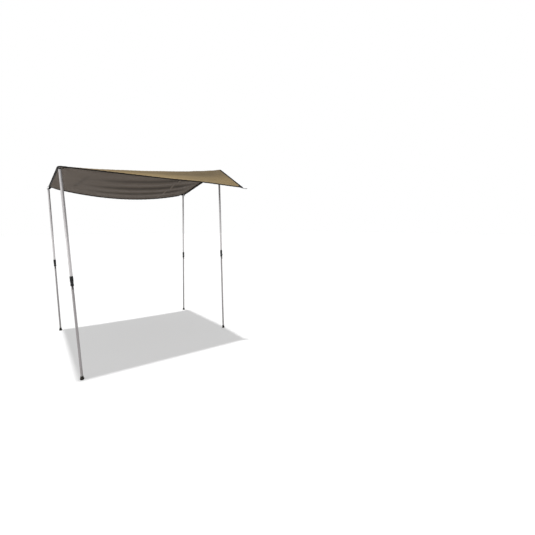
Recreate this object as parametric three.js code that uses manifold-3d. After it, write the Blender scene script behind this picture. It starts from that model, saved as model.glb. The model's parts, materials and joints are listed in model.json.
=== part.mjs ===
// A side awning: a ridged cloth canopy with a zip along its inner side, on four telescopic poles.
// Millimetres, +Z up. While the pieces are laid out, the eyelet of the rear strap is over x = 0, y = 0,
// x runs from the free side (negative) to the zipped side (zero), and y runs from the rear to the front.
import * as THREE from 'three';
import { mergeVertices } from 'three/addons/utils/BufferGeometryUtils.js';
import Module from 'manifold-3d';

const wasm = await Module();
wasm.setup();

// Overall sizes: from the ridge pole's foot to the outer feet, from the rear strap's eyelet to the outer
// front foot, from the ground to the outer rear corner, and from there up to the peak
const poleSpacing = 1943;
const frontDepth = 2137;
const eaveHeight = 2101;
const peakRise = 266;

// How far each corner of the cloth stands from those lines
const outerRearOut = 38;
const outerRearDepth = 190;
const outerFrontIn = 30;
const outerFrontAhead = 13;
const outerFrontRise = 21;
const innerFrontOut = 16;
const innerFrontBack = 220;
const innerFrontRise = 19;
const peakOut = 12;
const peakDepth = 655;
const innerRearIn = 40;
const innerRearDepth = 35;
const innerRearDrop = 47;
const strapDrop = 65;

// How far each foot stands from those lines
const outerRearFootDepth = 213;
const innerFrontFootIn = 34;
const innerFrontFootBack = 142;
const ridgeFootDepth = 640;

// Canopy corners, at the cloth itself
const outerRear = new THREE.Vector3(-poleSpacing - outerRearOut, outerRearDepth, eaveHeight);
const outerFront = new THREE.Vector3(
  -poleSpacing + outerFrontIn,
  frontDepth + outerFrontAhead,
  eaveHeight + outerFrontRise,
);
const innerFront = new THREE.Vector3(
  innerFrontOut,
  frontDepth - innerFrontBack,
  eaveHeight + innerFrontRise,
);
const peak = new THREE.Vector3(peakOut, peakDepth, eaveHeight + peakRise);
const innerRear = new THREE.Vector3(-innerRearIn, innerRearDepth, eaveHeight - innerRearDrop);

// Where each pole's foot stands, and the middle of the rear strap's eyelet
const outerRearFoot = new THREE.Vector2(-poleSpacing, outerRearFootDepth);
const outerFrontFoot = new THREE.Vector2(-poleSpacing, frontDepth);
const innerFrontFoot = new THREE.Vector2(-innerFrontFootIn, frontDepth - innerFrontFootBack);
const ridgeFoot = new THREE.Vector2(0, ridgeFootDepth);
const strapPoint = new THREE.Vector3(0, 0, eaveHeight - strapDrop);

// How the cloth hangs between its corners
const crestStep = 26;
const crestSag = 30;
const crestLeanShare = 0.25;
const frontSag = 122;
const frontBow = 30;
const bellyDepth = 28;
const gableSagShare = 0.045;
const gableSagFadeShares = [0.8, 1];
const foldHeight = 11;
const rearLift = 10;
const foldCount = 4.5;
const foldSlantShare = 0.35;
const foldStartShare = 0.1;
const foldRiseShares = [0.12, 0.5];
const foldFadeShares = [0.8, 0.985];
const rearLiftShare = 0.77;
const rearLiftSpreadShare = 0.16;
const edgeStepShare = 0.06;

// Cloth, hems and tapes
const clothThickness = 1.2;
const layerGap = 0.84;
const tabGap = 0.7;
const edgeGap = 0.4;
const sideGap = 1;
const hemWidth = 25;
const hemThickness = 2;
const ridgeTapeWidth = 26;
const seamTapeWidth = 30;
const seamTapeThickness = 1.2;
const seamShare = 0.745;
const clothColumns = 14;
const clothRows = 26;
const gableRows = 7;
const gableHemShare = 0.96;

// Corner patches
const patchReach = 120;
const patchMargin = 5;
const patchInset = hemWidth + patchMargin;
const patchTip = 10;
const patchThickness = 1.2;
const patchSteps = 3;
const patchRays = 4;

// Webbing tabs that hold the eyelets
const tabWidth = 38;
const tabThickness = 2;
const tabEnd = 17;
const tabFlat = 15;
const tabRamp = 20;
const tabLap = 40;
const tabDrop = 18;
const frontTabDrop = 36;
const frontEyeletOut = 7;
const strapLap = 45;

// Eyelets
const eyeletBore = 11;
const eyeletBarrel = 14.4;
const eyeletFlange = 24;
const flangeThickness = 1.2;
const fitGap = 0.3;
const eyeletSides = 18;

// Zip half, its slider, pull and end stop
const tapeInner = 14;
const tapeOuter = 10;
const tapeThickness = 1;
const chainWidth = 4.5;
const chainHeight = 3.2;
const chainShoulder = 1;
const clipLength = 20;
const clipWall = 1.9;
const clipClearance = 0.5;
const clipTapeSide = 4.4;
const stopLength = 5;
const stopEnd = 8;
const bridgeLength = 12;
const bridgeGap = 4.4;
const bridgeBar = 1.4;
const bridgePost = 1.6;
const bridgeWidth = 2.4;
const pullLength = 32;
const pullWidth = 8;
const pullThickness = 1.6;
const pullSlotWidth = 4.4;
const pullSlotLength = 6.8;

// Poles
const upperDiameter = 26;
const upperWall = 1.2;
const lowerDiameter = 23;
const lowerWall = 1;
const upperLength = 1050;
const ridgeUpperLength = 1180;
const tubeOverlap = 140;
const tubeSides = 16;

// Spigot plug in the top of the pole, guide bush on the lower tube, and rubber foot
const shoulderGap = 0.6;
const spigotDiameter = 8;
const spigotHeight = 14;
const spigotTip = 2;
const shoulderHeight = 3;
const shoulderDome = 1.4;
const plugDepth = 30;
const bushHead = 10;
const bushStem = 22;
const bushCore = 12;
const footHeight = 38;
const footFloor = 7;
const footSole = 30;
const footFlare = 40;
const footFlareHeight = 9;
const footNeck = 29;
const footNeckHeight = 26;
const footSpare = 3;

// Clamp that locks the two tubes
const collarDiameter = 31;
const collarBelow = 52;
const collarAbove = 46;
const collarRim = 3;
const collarRimStep = 1.4;
const slitWidth = 2.4;
const slitHeight = 44;
const earThickness = 4;
const earHeight = 15;
const earReach = 10;
const earCentreBelow = 22;
const leverWidth = 9.4;
const leverThickness = 4.6;
const leverLength = 62;
const leverHeadRadius = 4;
const leverLip = 5;
const leverStandOff = 0.8;
const leverLipRise = 10;
const boltDiameter = 4;
const boltHeadDiameter = 8;
const boltHeadHeight = 2;
const collarSides = 24;
const boltSides = 12;
const arcSteps = 8;
const boltOut = collarDiameter / 2 + leverStandOff + leverHeadRadius;

// One overrun serves every cut
const overrun = 5;

const fullTurn = Math.PI * 2;
const mix = (a, b, t) => a + (b - a) * t;
const arch = (t) => 4 * t * (1 - t);
const leaning = (t, lean) => arch(t) * (1 + lean * (2 * t - 1));
const smooth = (from, to, t) => THREE.MathUtils.smoothstep(t, from, to);

const part = new THREE.Group();

const finishes = {
  clothTop: { color: 0x9a8a63, roughness: 0.85, metalness: 0 },
  clothDark: { color: 0x5a534b, roughness: 0.85, metalness: 0 },
  binding: { color: 0x2d2925, roughness: 0.8, metalness: 0 },
  webbing: { color: 0x1c1b1a, roughness: 0.8, metalness: 0 },
  zip: { color: 0x151413, roughness: 0.6, metalness: 0 },
  eyelet: { color: 0xa8a8a4, roughness: 0.3, metalness: 1 },
  steel: { color: 0xc2c1be, roughness: 0.3, metalness: 1 },
  bolt: { color: 0x8c8c8a, roughness: 0.35, metalness: 1 },
  nylon: { color: 0x1a1a1b, roughness: 0.5, metalness: 0 },
  rubber: { color: 0x19191a, roughness: 0.75, metalness: 0 },
};

// Puts a named mesh in a group
function addMesh(parent, name, geometry, finish) {
  const mesh = new THREE.Mesh(geometry, new THREE.MeshStandardMaterial(finishes[finish]));
  mesh.name = name;
  parent.add(mesh);
  return mesh;
}

// A closed three.js geometry as a solid, for the cuts and joins
function solidOf(geometry) {
  const bare = geometry.clone();
  bare.deleteAttribute('normal');
  bare.deleteAttribute('uv');
  const merged = mergeVertices(bare);
  const mesh = new wasm.Mesh({
    numProp: 3,
    vertProperties: new Float32Array(merged.attributes.position.array),
    triVerts: new Uint32Array(merged.index.array),
  });
  return new wasm.Manifold(mesh);
}

// A solid back as a geometry with flat faces
function geometryOf(solid) {
  const mesh = solid.getMesh();
  const geometry = new THREE.BufferGeometry();
  geometry.setAttribute('position', new THREE.BufferAttribute(new Float32Array(mesh.vertProperties), 3));
  geometry.setIndex(new THREE.BufferAttribute(new Uint32Array(mesh.triVerts), 1));
  const flat = geometry.toNonIndexed();
  flat.computeVertexNormals();
  return flat;
}

const subtract = (geometry, ...tools) =>
  geometryOf(tools.reduce((solid, tool) => solid.subtract(solidOf(tool)), solidOf(geometry)));
const unite = (geometry, ...others) =>
  geometryOf(others.reduce((solid, other) => solid.add(solidOf(other)), solidOf(geometry)));

// A closed ring or knob turned about z from [radius, z] pairs
function turned(points, sides) {
  const profile = points.map(([radius, z]) => new THREE.Vector2(radius, z));
  const geometry = new THREE.LatheGeometry(profile, sides);
  geometry.rotateX(Math.PI / 2);
  return outward(geometry);
}

// Turns the faces of a closed geometry outwards where its volume comes out negative
function outward(geometry) {
  const flat = geometry.index ? geometry.toNonIndexed() : geometry;
  const p = flat.attributes.position;
  const a = new THREE.Vector3();
  const b = new THREE.Vector3();
  const c = new THREE.Vector3();
  let volume = 0;
  for (let i = 0; i < p.count; i += 3) {
    a.fromBufferAttribute(p, i);
    b.fromBufferAttribute(p, i + 1);
    c.fromBufferAttribute(p, i + 2);
    volume += a.dot(b.cross(c));
  }
  if (volume < 0) {
    for (let i = 0; i < p.count; i += 3) {
      b.fromBufferAttribute(p, i + 1);
      c.fromBufferAttribute(p, i + 2);
      p.setXYZ(i + 1, c.x, c.y, c.z);
      p.setXYZ(i + 2, b.x, b.y, b.z);
    }
  }
  flat.deleteAttribute('uv');
  flat.computeVertexNormals();
  return flat;
}

// A tube section between two radii, closed on itself
const tubeGeometry = (outer, inner, from, to) =>
  turned([[outer, from], [outer, to], [inner, to], [inner, from], [outer, from]], tubeSides);

// An outline in the x-z plane carried along y, centred on y = 0
function extrudedAlongY(points, length) {
  const shape = new THREE.Shape(points.map(([x, z]) => new THREE.Vector2(x, z)));
  const geometry = new THREE.ExtrudeGeometry(shape, { depth: length, bevelEnabled: false });
  geometry.translate(0, 0, -length / 2);
  geometry.rotateX(Math.PI / 2);
  return outward(geometry);
}

// The cloth surface
// Every height comes from the plan: u is the share of the way across from the free edge to the zipped edge,
// and the share between the rear edge and the crest, or the crest and the front edge, gives the rest.
const outerX = (y) =>
  mix(outerRear.x, outerFront.x, (y - outerRear.y) / (outerFront.y - outerRear.y));
const innerX = (y) =>
  y < peak.y
    ? mix(innerRear.x, peak.x, (y - innerRear.y) / (peak.y - innerRear.y))
    : mix(peak.x, innerFront.x, (y - peak.y) / (innerFront.y - peak.y));

const rearLine = {
  y: (u) => mix(outerRear.y, innerRear.y, u),
  z: (u) => mix(outerRear.z, innerRear.z, u)
    + rearLift * Math.exp(-(((u - rearLiftShare) / rearLiftSpreadShare) ** 2)) * arch(u),
};
const crestLine = {
  y: (u) => mix(outerRear.y + crestStep, peak.y, u),
  z: (u) => mix(outerRear.z, peak.z, u) - crestSag * leaning(u, crestLeanShare),
};
const frontLine = {
  y: (u) => mix(outerFront.y, innerFront.y, u) - frontBow * arch(u),
  z: (u) => mix(outerFront.z, innerFront.z, u) - frontSag * arch(u),
};

// Long folds that run from the zipped side outwards and die away before the edges
function foldAt(u, v) {
  const inside = Math.sin(Math.PI * THREE.MathUtils.clamp(v, 0, 1));
  const rise = smooth(foldRiseShares[0], foldRiseShares[1], u);
  const fade = 1 - smooth(foldFadeShares[0], foldFadeShares[1], u);
  const wave = Math.sin(fullTurn * (foldCount * v + foldSlantShare * u + foldStartShare));
  return foldHeight * wave * inside * rise * fade;
}

function clothHeight(x, y) {
  const u = (x - outerX(y)) / (innerX(y) - outerX(y));
  const crest = crestLine.y(u);
  if (y < crest) {
    const width = crest - rearLine.y(u);
    const s = (y - rearLine.y(u)) / width;
    const sag = gableSagShare * width * (1 - smooth(gableSagFadeShares[0], gableSagFadeShares[1], u));
    return mix(rearLine.z(u), crestLine.z(u), s) - sag * arch(s);
  }
  const v = (y - crest) / (frontLine.y(u) - crest);
  return mix(crestLine.z(u), frontLine.z(u), v) - bellyDepth * arch(u) * arch(v) + foldAt(u, v);
}

const planPoint = (u, y) => new THREE.Vector2(mix(outerX(y), innerX(y), u), y);
const clothWidth = innerFront.x - outerFront.x;

// A closed sheet over a grid of plan points, with its own height and half thickness for each place across
function sheet(lines, height, halfThickness) {
  const rows = lines[0].length;
  const corners = [];
  for (const side of [1, -1]) {
    for (const line of lines) {
      line.forEach((point, j) => {
        const half = typeof halfThickness === 'number' ? halfThickness : halfThickness[j];
        corners.push(point.x, point.y, height(point, j) + side * half);
      });
    }
  }
  const lower = lines.length * rows;
  const at = (i, j) => i * rows + j;
  const index = [];
  const quad = (a, b, c, d) => index.push(a, b, c, a, c, d);
  const last = lines.length - 1;
  for (let i = 0; i < last; i += 1) {
    for (let j = 0; j < rows - 1; j += 1) {
      quad(at(i, j), at(i + 1, j), at(i + 1, j + 1), at(i, j + 1));
      quad(lower + at(i, j), lower + at(i, j + 1), lower + at(i + 1, j + 1), lower + at(i + 1, j));
    }
    quad(lower + at(i, 0), lower + at(i + 1, 0), at(i + 1, 0), at(i, 0));
    quad(at(i, rows - 1), at(i + 1, rows - 1), lower + at(i + 1, rows - 1), lower + at(i, rows - 1));
  }
  for (let j = 0; j < rows - 1; j += 1) {
    quad(at(0, j), at(0, j + 1), lower + at(0, j + 1), lower + at(0, j));
    quad(lower + at(last, j), lower + at(last, j + 1), at(last, j + 1), at(last, j));
  }
  const geometry = new THREE.BufferGeometry();
  geometry.setAttribute('position', new THREE.Float32BufferAttribute(corners, 3));
  geometry.setIndex(index);
  return outward(geometry);
}

// A layer lies under the cloth by the cloth's half thickness, a gap and its own half thickness
const layerDrop = (thickness) => clothThickness / 2 + layerGap + thickness / 2;
const underCloth = (thickness) => (point) => clothHeight(point.x, point.y) - layerDrop(thickness);
const onCloth = (point) => clothHeight(point.x, point.y);

// Grid lines of the cloth, with a line at the inner side of each hem and tape
function spread(from, to, count) {
  return Array.from({ length: count + 1 }, (_, k) => mix(from, to, k / count));
}
const seamHalfShare = seamTapeWidth / clothWidth / 2;
const hemShare = hemWidth / clothWidth;
const zipShare = tapeInner / clothWidth;
const outerColumns = Math.round(clothColumns * seamShare);
const innerColumns = Math.max(1, clothColumns - outerColumns);
const columns = [
  0,
  ...spread(hemShare, seamShare - seamHalfShare, outerColumns),
  ...spread(seamShare + seamHalfShare, 1 - zipShare, innerColumns),
  1,
];
const seamColumn = outerColumns + 1;

function mainRows(u) {
  const crest = crestLine.y(u);
  const front = frontLine.y(u);
  return [crest, ...spread(crest + ridgeTapeWidth / 2, front - hemWidth, clothRows - 2), front];
}
function gableRowsAt(u) {
  const rear = rearLine.y(u);
  const crest = crestLine.y(u);
  const hem = Math.min(hemWidth, (crest - rear) * gableHemShare);
  const tape = Math.min(ridgeTapeWidth / 2, (crest - rear - hem) / 2);
  return [rear, ...spread(rear + hem, crest - tape, gableRows - 2), crest];
}
const mainLines = columns.map((u) => mainRows(u).map((y) => planPoint(u, y)));
const gableLines = columns.map((u) => gableRowsAt(u).map((y) => planPoint(u, y)));

// A block of grid cells, with its first and last rows or columns drawn in by a gap
const towards = (from, to, distance) => to.clone().sub(from).setLength(distance).add(from);
function insetRows(lines, startGap, endGap) {
  return lines.map((line) => {
    const own = line.slice();
    const end = own.length - 1;
    if (startGap > 0) own[0] = towards(line[0], line[1], startGap);
    if (endGap > 0) own[end] = towards(line[end], line[end - 1], endGap);
    return own;
  });
}
function insetEnd(lines, gap) {
  const end = lines.length - 1;
  const last = lines[end].map((point, j) => towards(point, lines[end - 1][j], gap));
  return [...lines.slice(0, end), last];
}
const block = (lines, columnFrom, columnTo, rowFrom, rowTo) =>
  lines.slice(columnFrom, columnTo + 1).map((line) => line.slice(rowFrom, rowTo + 1));

// Panels
const lastColumn = columns.length - 1;
const panel = (lines) => sheet(lines, onCloth, clothThickness / 2);
addMesh(part, 'main_panel', panel(insetRows(mainLines, edgeGap, 0)), 'clothDark');
addMesh(part, 'gable_panel', panel(insetRows(gableLines, 0, edgeGap)), 'clothTop');

// Hems: folded cloth bound along the front, free and rear edges
const frontHem = insetEnd(block(mainLines, 0, lastColumn - 1, clothRows - 1, clothRows), sideGap);
const outerHem = insetRows(block(mainLines, 0, 1, 0, clothRows - 1), sideGap, sideGap);
const rearHem = insetEnd(block(gableLines, 0, lastColumn - 1, 0, 1), sideGap);
const hems = { front_hem: frontHem, outer_hem: outerHem, rear_hem: rearHem };
for (const [name, lines] of Object.entries(hems)) {
  addMesh(part, name, sheet(lines, underCloth(hemThickness), hemThickness / 2), 'binding');
}

// Directions along the cloth's edges at a corner, in plan
const direction = (from, to) => to.clone().sub(from).normalize();
const edgePoint = (line, u) => planPoint(u, line.y(u));
const crestStart = edgePoint(crestLine, 0);
const crestIn = direction(crestStart, edgePoint(crestLine, edgeStepShare));
const crestOut = direction(edgePoint(crestLine, 1), edgePoint(crestLine, 1 - edgeStepShare));
const plan = (corner) => new THREE.Vector2(corner.x, corner.y);
const zipForward = direction(plan(peak), plan(innerFront));
const zipBack = direction(plan(peak), plan(innerRear));
const outerForward = direction(plan(outerRear), plan(outerFront));

// Corner patches: each a fan between two edges, with a ray on the crest where the crest runs through it
function patchLines(centre, directions) {
  const rays = [];
  directions.slice(1).forEach((next, k) => {
    const from = directions[k].angle();
    const sweep = Math.atan2(directions[k].cross(next), directions[k].dot(next));
    for (let step = k === 0 ? 0 : 1; step <= patchRays; step += 1) {
      rays.push(from + (sweep * step) / patchRays);
    }
  });
  return rays.map((angle) => {
    const ray = new THREE.Vector2(Math.cos(angle), Math.sin(angle));
    return spread(patchTip, patchReach, patchSteps).map((r) => ray.clone().multiplyScalar(r).add(centre));
  });
}
const inFrom = (corner, first, second) =>
  corner.clone().addScaledVector(first, patchInset).addScaledVector(second, patchInset);
const frontIn = direction(edgePoint(frontLine, 0), edgePoint(frontLine, edgeStepShare));
const frontBack = direction(edgePoint(frontLine, 1), edgePoint(frontLine, 1 - edgeStepShare));
const rearIn = direction(edgePoint(rearLine, 0), edgePoint(rearLine, edgeStepShare));
const rearBack = direction(edgePoint(rearLine, 1), edgePoint(rearLine, 1 - edgeStepShare));
const zipBackward = zipForward.clone().negate();
const outerBackward = outerForward.clone().negate();
const zipUp = zipBack.clone().negate();
const patches = {
  outer_rear: {
    centre: crestStart.clone().addScaledVector(crestIn, patchInset),
    directions: [rearIn, crestIn, outerForward],
  },
  outer_front: {
    centre: inFrom(plan(outerFront), frontIn, outerBackward),
    directions: [outerBackward, frontIn],
  },
  inner_front: {
    centre: inFrom(plan(innerFront), frontBack, zipBackward),
    directions: [frontBack, zipBackward],
  },
  peak: {
    centre: plan(peak).addScaledVector(crestOut, patchInset),
    directions: [zipForward, crestOut, zipBack],
  },
  inner_rear: {
    centre: inFrom(plan(innerRear), rearBack, zipUp),
    directions: [zipUp, rearBack],
  },
};
for (const [name, { centre, directions }] of Object.entries(patches)) {
  const patch = sheet(patchLines(centre, directions), underCloth(patchThickness), patchThickness / 2);
  addMesh(part, `${name}_patch`, patch, 'clothDark');
}

// Ridge tape over the crest seam, from patch to patch, and the cross seam beside the zip
const patchSpan = (patchInset + patchReach + sideGap) / clothWidth;
const betweenPatches = columns.filter((u) => u > patchSpan && u < 1 - patchSpan);
const ridgeLines = [patchSpan, ...betweenPatches, 1 - patchSpan].map((u) =>
  [-ridgeTapeWidth / 2, 0, ridgeTapeWidth / 2].map((across) => planPoint(u, crestLine.y(u) + across)),
);
const seamTape = (lines) => sheet(lines, underCloth(seamTapeThickness), seamTapeThickness / 2);
const seamBlock = block(mainLines, seamColumn, seamColumn + 1, 1, clothRows - 1);
addMesh(part, 'ridge_tape', seamTape(ridgeLines), 'binding');
addMesh(part, 'cross_seam_tape', seamTape(insetRows(seamBlock, sideGap, sideGap)), 'clothDark');

// Eyelet webbing tabs
// distance runs inwards from the eyelet's centre: flat round the eyelet, a ramp, then a lap under the hem
const tabLayer = (over) => clothThickness / 2 + layerGap + over + tabGap + tabThickness / 2;
function tabSolid(centre, inwards, planeHeight, stations, over) {
  const side = new THREE.Vector2(-inwards.y, inwards.x);
  const [outEnd, flatEnd, rampEnd, lapEnd] = stations;
  const lines = [outEnd, flatEnd, rampEnd, (rampEnd + lapEnd) / 2, lapEnd].map((distance) =>
    [-tabWidth / 2, 0, tabWidth / 2].map((across) =>
      centre.clone().addScaledVector(inwards, distance).addScaledVector(side, across),
    ),
  );
  const height = (point) => {
    const along = point.clone().sub(centre).dot(inwards);
    const lap = clothHeight(point.x, point.y) - tabLayer(over);
    return along < (flatEnd + rampEnd) / 2 ? planeHeight : lap;
  };
  const holeRadius = eyeletBarrel / 2 + fitGap;
  const hole = new THREE.CylinderGeometry(holeRadius, holeRadius, tabThickness + overrun, eyeletSides);
  hole.rotateX(Math.PI / 2);
  hole.translate(centre.x, centre.y, planeHeight);
  const strip = sheet(lines, height, tabThickness / 2);
  return subtract(strip, hole);
}

const eyeletGeometry = () => {
  const inner = eyeletBore / 2;
  const barrel = eyeletBarrel / 2;
  const rim = eyeletFlange / 2;
  const seat = tabThickness / 2 + fitGap;
  const face = seat + flangeThickness;
  return turned([
    [inner, -face], [rim, -face], [rim, -seat], [barrel, -seat],
    [barrel, seat], [rim, seat], [rim, face], [inner, face], [inner, -face],
  ], eyeletSides);
};

const cornerLayer = Math.max(hemThickness, patchThickness);
const peakLayer = Math.max(patchThickness, tapeThickness);
const tabStations = [-tabEnd, tabFlat, tabFlat + tabRamp, tabFlat + tabRamp + tabLap];
const frontTabCentre = (corner, inwards, along) =>
  plan(corner).addScaledVector(inwards, along).add(new THREE.Vector2(0, -tabWidth / 2 - sideGap));
const alongX = new THREE.Vector2(1, 0);
const eyelets = {
  outer_rear: {
    centre: crestStart.clone().addScaledVector(crestIn, tabEnd),
    inwards: crestIn,
    drop: tabDrop,
    over: cornerLayer,
  },
  outer_front: {
    centre: frontTabCentre(outerFront, alongX, -frontEyeletOut),
    inwards: alongX,
    drop: frontTabDrop,
    over: cornerLayer,
  },
  inner_front: {
    centre: frontTabCentre(innerFront, alongX, -tabEnd),
    inwards: alongX.clone().negate(),
    drop: tabDrop,
    over: cornerLayer,
  },
  peak: {
    centre: plan(peak).addScaledVector(crestOut, tabEnd),
    inwards: crestOut,
    drop: tabDrop,
    over: peakLayer,
  },
};
for (const [name, eyelet] of Object.entries(eyelets)) {
  const { centre, inwards, drop, over } = eyelet;
  eyelet.height = clothHeight(centre.x, centre.y) - drop;
  addMesh(part, `${name}_tab`, tabSolid(centre, inwards, eyelet.height, tabStations, over), 'webbing');
  addMesh(part, `${name}_eyelet`, eyeletGeometry(), 'eyelet').position.set(centre.x, centre.y, eyelet.height);
}

// The rear strap reaches out from the cloth's rear inner corner to an eyelet of its own
const strapIn = direction(plan(strapPoint), plan(innerRear));
const strapReach = plan(strapPoint).distanceTo(plan(innerRear));
const strapRampEnd = Math.max(strapReach - sideGap, tabFlat + tabRamp);
const strapStations = [-tabEnd, tabFlat, strapRampEnd, strapReach + strapLap];
const strap = tabSolid(plan(strapPoint), strapIn, strapPoint.z, strapStations, cornerLayer);
addMesh(part, 'rear_strap', strap, 'webbing');
addMesh(part, 'rear_strap_eyelet', eyeletGeometry(), 'eyelet').position.copy(strapPoint);

// Zip half: tape under the cloth's inner edge, with the chain of teeth along its outer side
const tiltAt = (y) => (clothHeight(innerX(y), y) - clothHeight(innerX(y) - tapeInner, y)) / tapeInner;
const zipTilt = (tiltAt(peak.y) + tiltAt(innerFront.y)) / 2;
const zipDrop = layerDrop(tapeThickness);
const zipHeight = (across, y) => {
  const edge = clothHeight(innerX(y), y);
  const level = across < 0 ? clothHeight(innerX(y) + across, y) : edge + zipTilt * across;
  return level - zipDrop;
};
const zipAcross = [-tapeInner, 0, tapeOuter, tapeOuter + chainShoulder, tapeOuter + chainWidth];
const zipHalves = [tapeThickness, tapeThickness, tapeThickness, chainHeight, chainHeight].map((t) => t / 2);
const zipRows = [...gableRowsAt(1).slice(0, -1), ...mainRows(1)];
const zipLines = zipRows.map((y) => zipAcross.map((across) => new THREE.Vector2(innerX(y) + across, y)));
const zipPointHeight = (point, j) => zipHeight(zipAcross[j], point.y);
addMesh(part, 'side_zip', sheet(zipLines, zipPointHeight, zipHalves), 'zip');

// Frame of the straight chain between the front corner and the peak: y along it towards the peak, x outwards
const chainCentre = tapeOuter + (chainWidth + chainShoulder) / 2;
const chainPoint = (y) => new THREE.Vector3(innerX(y) + chainCentre, y, zipHeight(chainCentre, y));
const chainAlong = chainPoint(peak.y).sub(chainPoint(innerFront.y)).normalize();
const chainAcross = new THREE.Vector3(-1, 0, -zipTilt);
chainAcross.addScaledVector(chainAlong, -chainAcross.dot(chainAlong)).normalize();
const chainUp = new THREE.Vector3().crossVectors(chainAcross, chainAlong);
function onChain(mesh, distance) {
  mesh.quaternion.setFromRotationMatrix(new THREE.Matrix4().makeBasis(chainAcross, chainAlong, chainUp));
  mesh.position.copy(chainPoint(innerFront.y)).addScaledVector(chainAlong, distance);
}

// A clip wraps the chain and is slit on the tape's side, which is +x in the chain's frame
const clipInside = chainWidth / 2 + clipClearance;
const clipHigh = chainHeight / 2 + clipClearance;
const clipTop = clipHigh + clipWall;
function clipGeometry(length) {
  const slit = tapeThickness / 2 + clipClearance;
  const open = clipInside + clipTapeSide;
  return extrudedAlongY([
    [-clipInside - clipWall, -clipTop], [open, -clipTop], [open, -slit], [clipInside, -slit],
    [clipInside, -clipHigh], [-clipInside, -clipHigh], [-clipInside, clipHigh], [clipInside, clipHigh],
    [clipInside, slit], [open, slit], [open, clipTop], [-clipInside - clipWall, clipTop],
  ], length);
}
function bridgeGeometry() {
  const half = bridgeLength / 2;
  const inner = half - bridgePost;
  const low = -clipTop - bridgeGap - bridgeBar;
  const root = -clipTop + clipWall / 2;
  const shape = new THREE.Shape([
    [-half, root], [-half, low], [half, low], [half, root], [inner, root],
    [inner, low + bridgeBar], [-inner, low + bridgeBar], [-inner, root],
  ].map(([y, z]) => new THREE.Vector2(y, z)));
  const geometry = new THREE.ExtrudeGeometry(shape, { depth: bridgeWidth, bevelEnabled: false });
  geometry.translate(0, 0, -bridgeWidth / 2);
  geometry.rotateX(Math.PI / 2);
  geometry.rotateZ(Math.PI / 2);
  return outward(geometry);
}
onChain(addMesh(part, 'zip_end_stop', clipGeometry(stopLength), 'bolt'), stopEnd);
const slider = addMesh(part, 'zip_slider', unite(clipGeometry(clipLength), bridgeGeometry()), 'bolt');
onChain(slider, stopEnd + stopLength / 2 + fitGap + clipLength / 2);

// The pull hangs straight down from the bridge, its slot round the bridge's bar
function pullGeometry() {
  const half = pullWidth / 2;
  const top = bridgeBar / 2;
  const outline = new THREE.Shape();
  outline.moveTo(-half, top);
  outline.lineTo(-half, -pullLength + half);
  outline.absarc(0, -pullLength + half, half, Math.PI, fullTurn, false);
  outline.lineTo(half, top);
  outline.closePath();
  const slot = pullSlotWidth / 2;
  const hole = new THREE.Path([
    [-slot, -top], [slot, -top], [slot, -top - pullSlotLength], [-slot, -top - pullSlotLength],
  ].map(([x, z]) => new THREE.Vector2(x, z)));
  outline.holes.push(hole);
  const settings = { depth: pullThickness, bevelEnabled: false, curveSegments: arcSteps };
  const geometry = new THREE.ExtrudeGeometry(outline, settings);
  geometry.translate(0, 0, -pullThickness / 2);
  geometry.rotateX(Math.PI / 2);
  return outward(geometry);
}
const pull = addMesh(part, 'zip_pull', pullGeometry(), 'bolt');
pull.position.copy(slider.position).addScaledVector(chainUp, -clipTop - bridgeGap / 2);

// Pole pieces, in the pole's own frame: z up the pole from its foot
const upperRadius = upperDiameter / 2;
const upperBore = upperRadius - upperWall;
const lowerRadius = lowerDiameter / 2;
const lowerBore = lowerRadius - lowerWall;
const collarRadius = collarDiameter / 2;

function spigotPlug(shoulder) {
  const pin = spigotDiameter / 2;
  const body = upperBore - fitGap;
  const seat = shoulder - shoulderHeight;
  return turned([
    [0, seat - plugDepth], [body, seat - plugDepth], [body, seat + fitGap], [upperRadius, seat + fitGap],
    [upperRadius, shoulder - shoulderDome], [pin + shoulderDome, shoulder], [pin, shoulder],
    [pin, shoulder + spigotHeight - spigotTip], [pin - spigotTip, shoulder + spigotHeight],
    [0, shoulder + spigotHeight],
  ], tubeSides);
}

function guideBush(top) {
  const seat = top + fitGap;
  return turned([
    [bushCore / 2, seat + bushHead], [lowerRadius, seat + bushHead], [lowerRadius, seat],
    [lowerBore - fitGap, seat], [lowerBore - fitGap, seat - bushStem], [bushCore / 2, seat - bushStem],
    [bushCore / 2, seat + bushHead],
  ], tubeSides);
}

// A drill along x that leaves the bolt its clearance
function boltHole(length) {
  const radius = boltDiameter / 2 + fitGap;
  const hole = new THREE.CylinderGeometry(radius, radius, length, boltSides);
  hole.rotateZ(Math.PI / 2);
  return hole;
}

function clampCollar() {
  const outer = collarRadius;
  const lowBore = lowerRadius + fitGap;
  const highBore = upperRadius + fitGap;
  const rim = outer - collarRimStep;
  const body = turned([
    [lowBore, -collarBelow], [rim, -collarBelow], [outer, -collarBelow + collarRim],
    [outer, collarAbove - collarRim], [rim, collarAbove], [highBore, collarAbove], [highBore, -fitGap],
    [lowBore, -fitGap], [lowBore, -collarBelow],
  ], collarSides);
  const earInner = leverWidth / 2 + fitGap;
  const earDeep = leverHeadRadius + leverStandOff + earReach;
  const ears = [1, -1].map((side) => {
    const ear = new THREE.BoxGeometry(earThickness, earDeep, earHeight);
    ear.translate(side * (earInner + earThickness / 2), -outer - earReach + earDeep / 2, -earCentreBelow);
    return ear;
  });
  const bore = new THREE.CylinderGeometry(highBore, highBore, earHeight + overrun, tubeSides);
  bore.rotateX(Math.PI / 2);
  bore.translate(0, 0, -earCentreBelow);
  const slit = new THREE.BoxGeometry(slitWidth, collarRadius + overrun, slitHeight + overrun);
  slit.translate(0, -(collarRadius + overrun) / 2, -collarBelow + (slitHeight - overrun) / 2);
  const pin = boltHole((earInner + earThickness) * 2 + overrun);
  pin.translate(0, -boltOut, -earCentreBelow);
  return unite(subtract(body, slit), ...ears.map((ear) => subtract(ear, pin, bore)));
}

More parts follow.
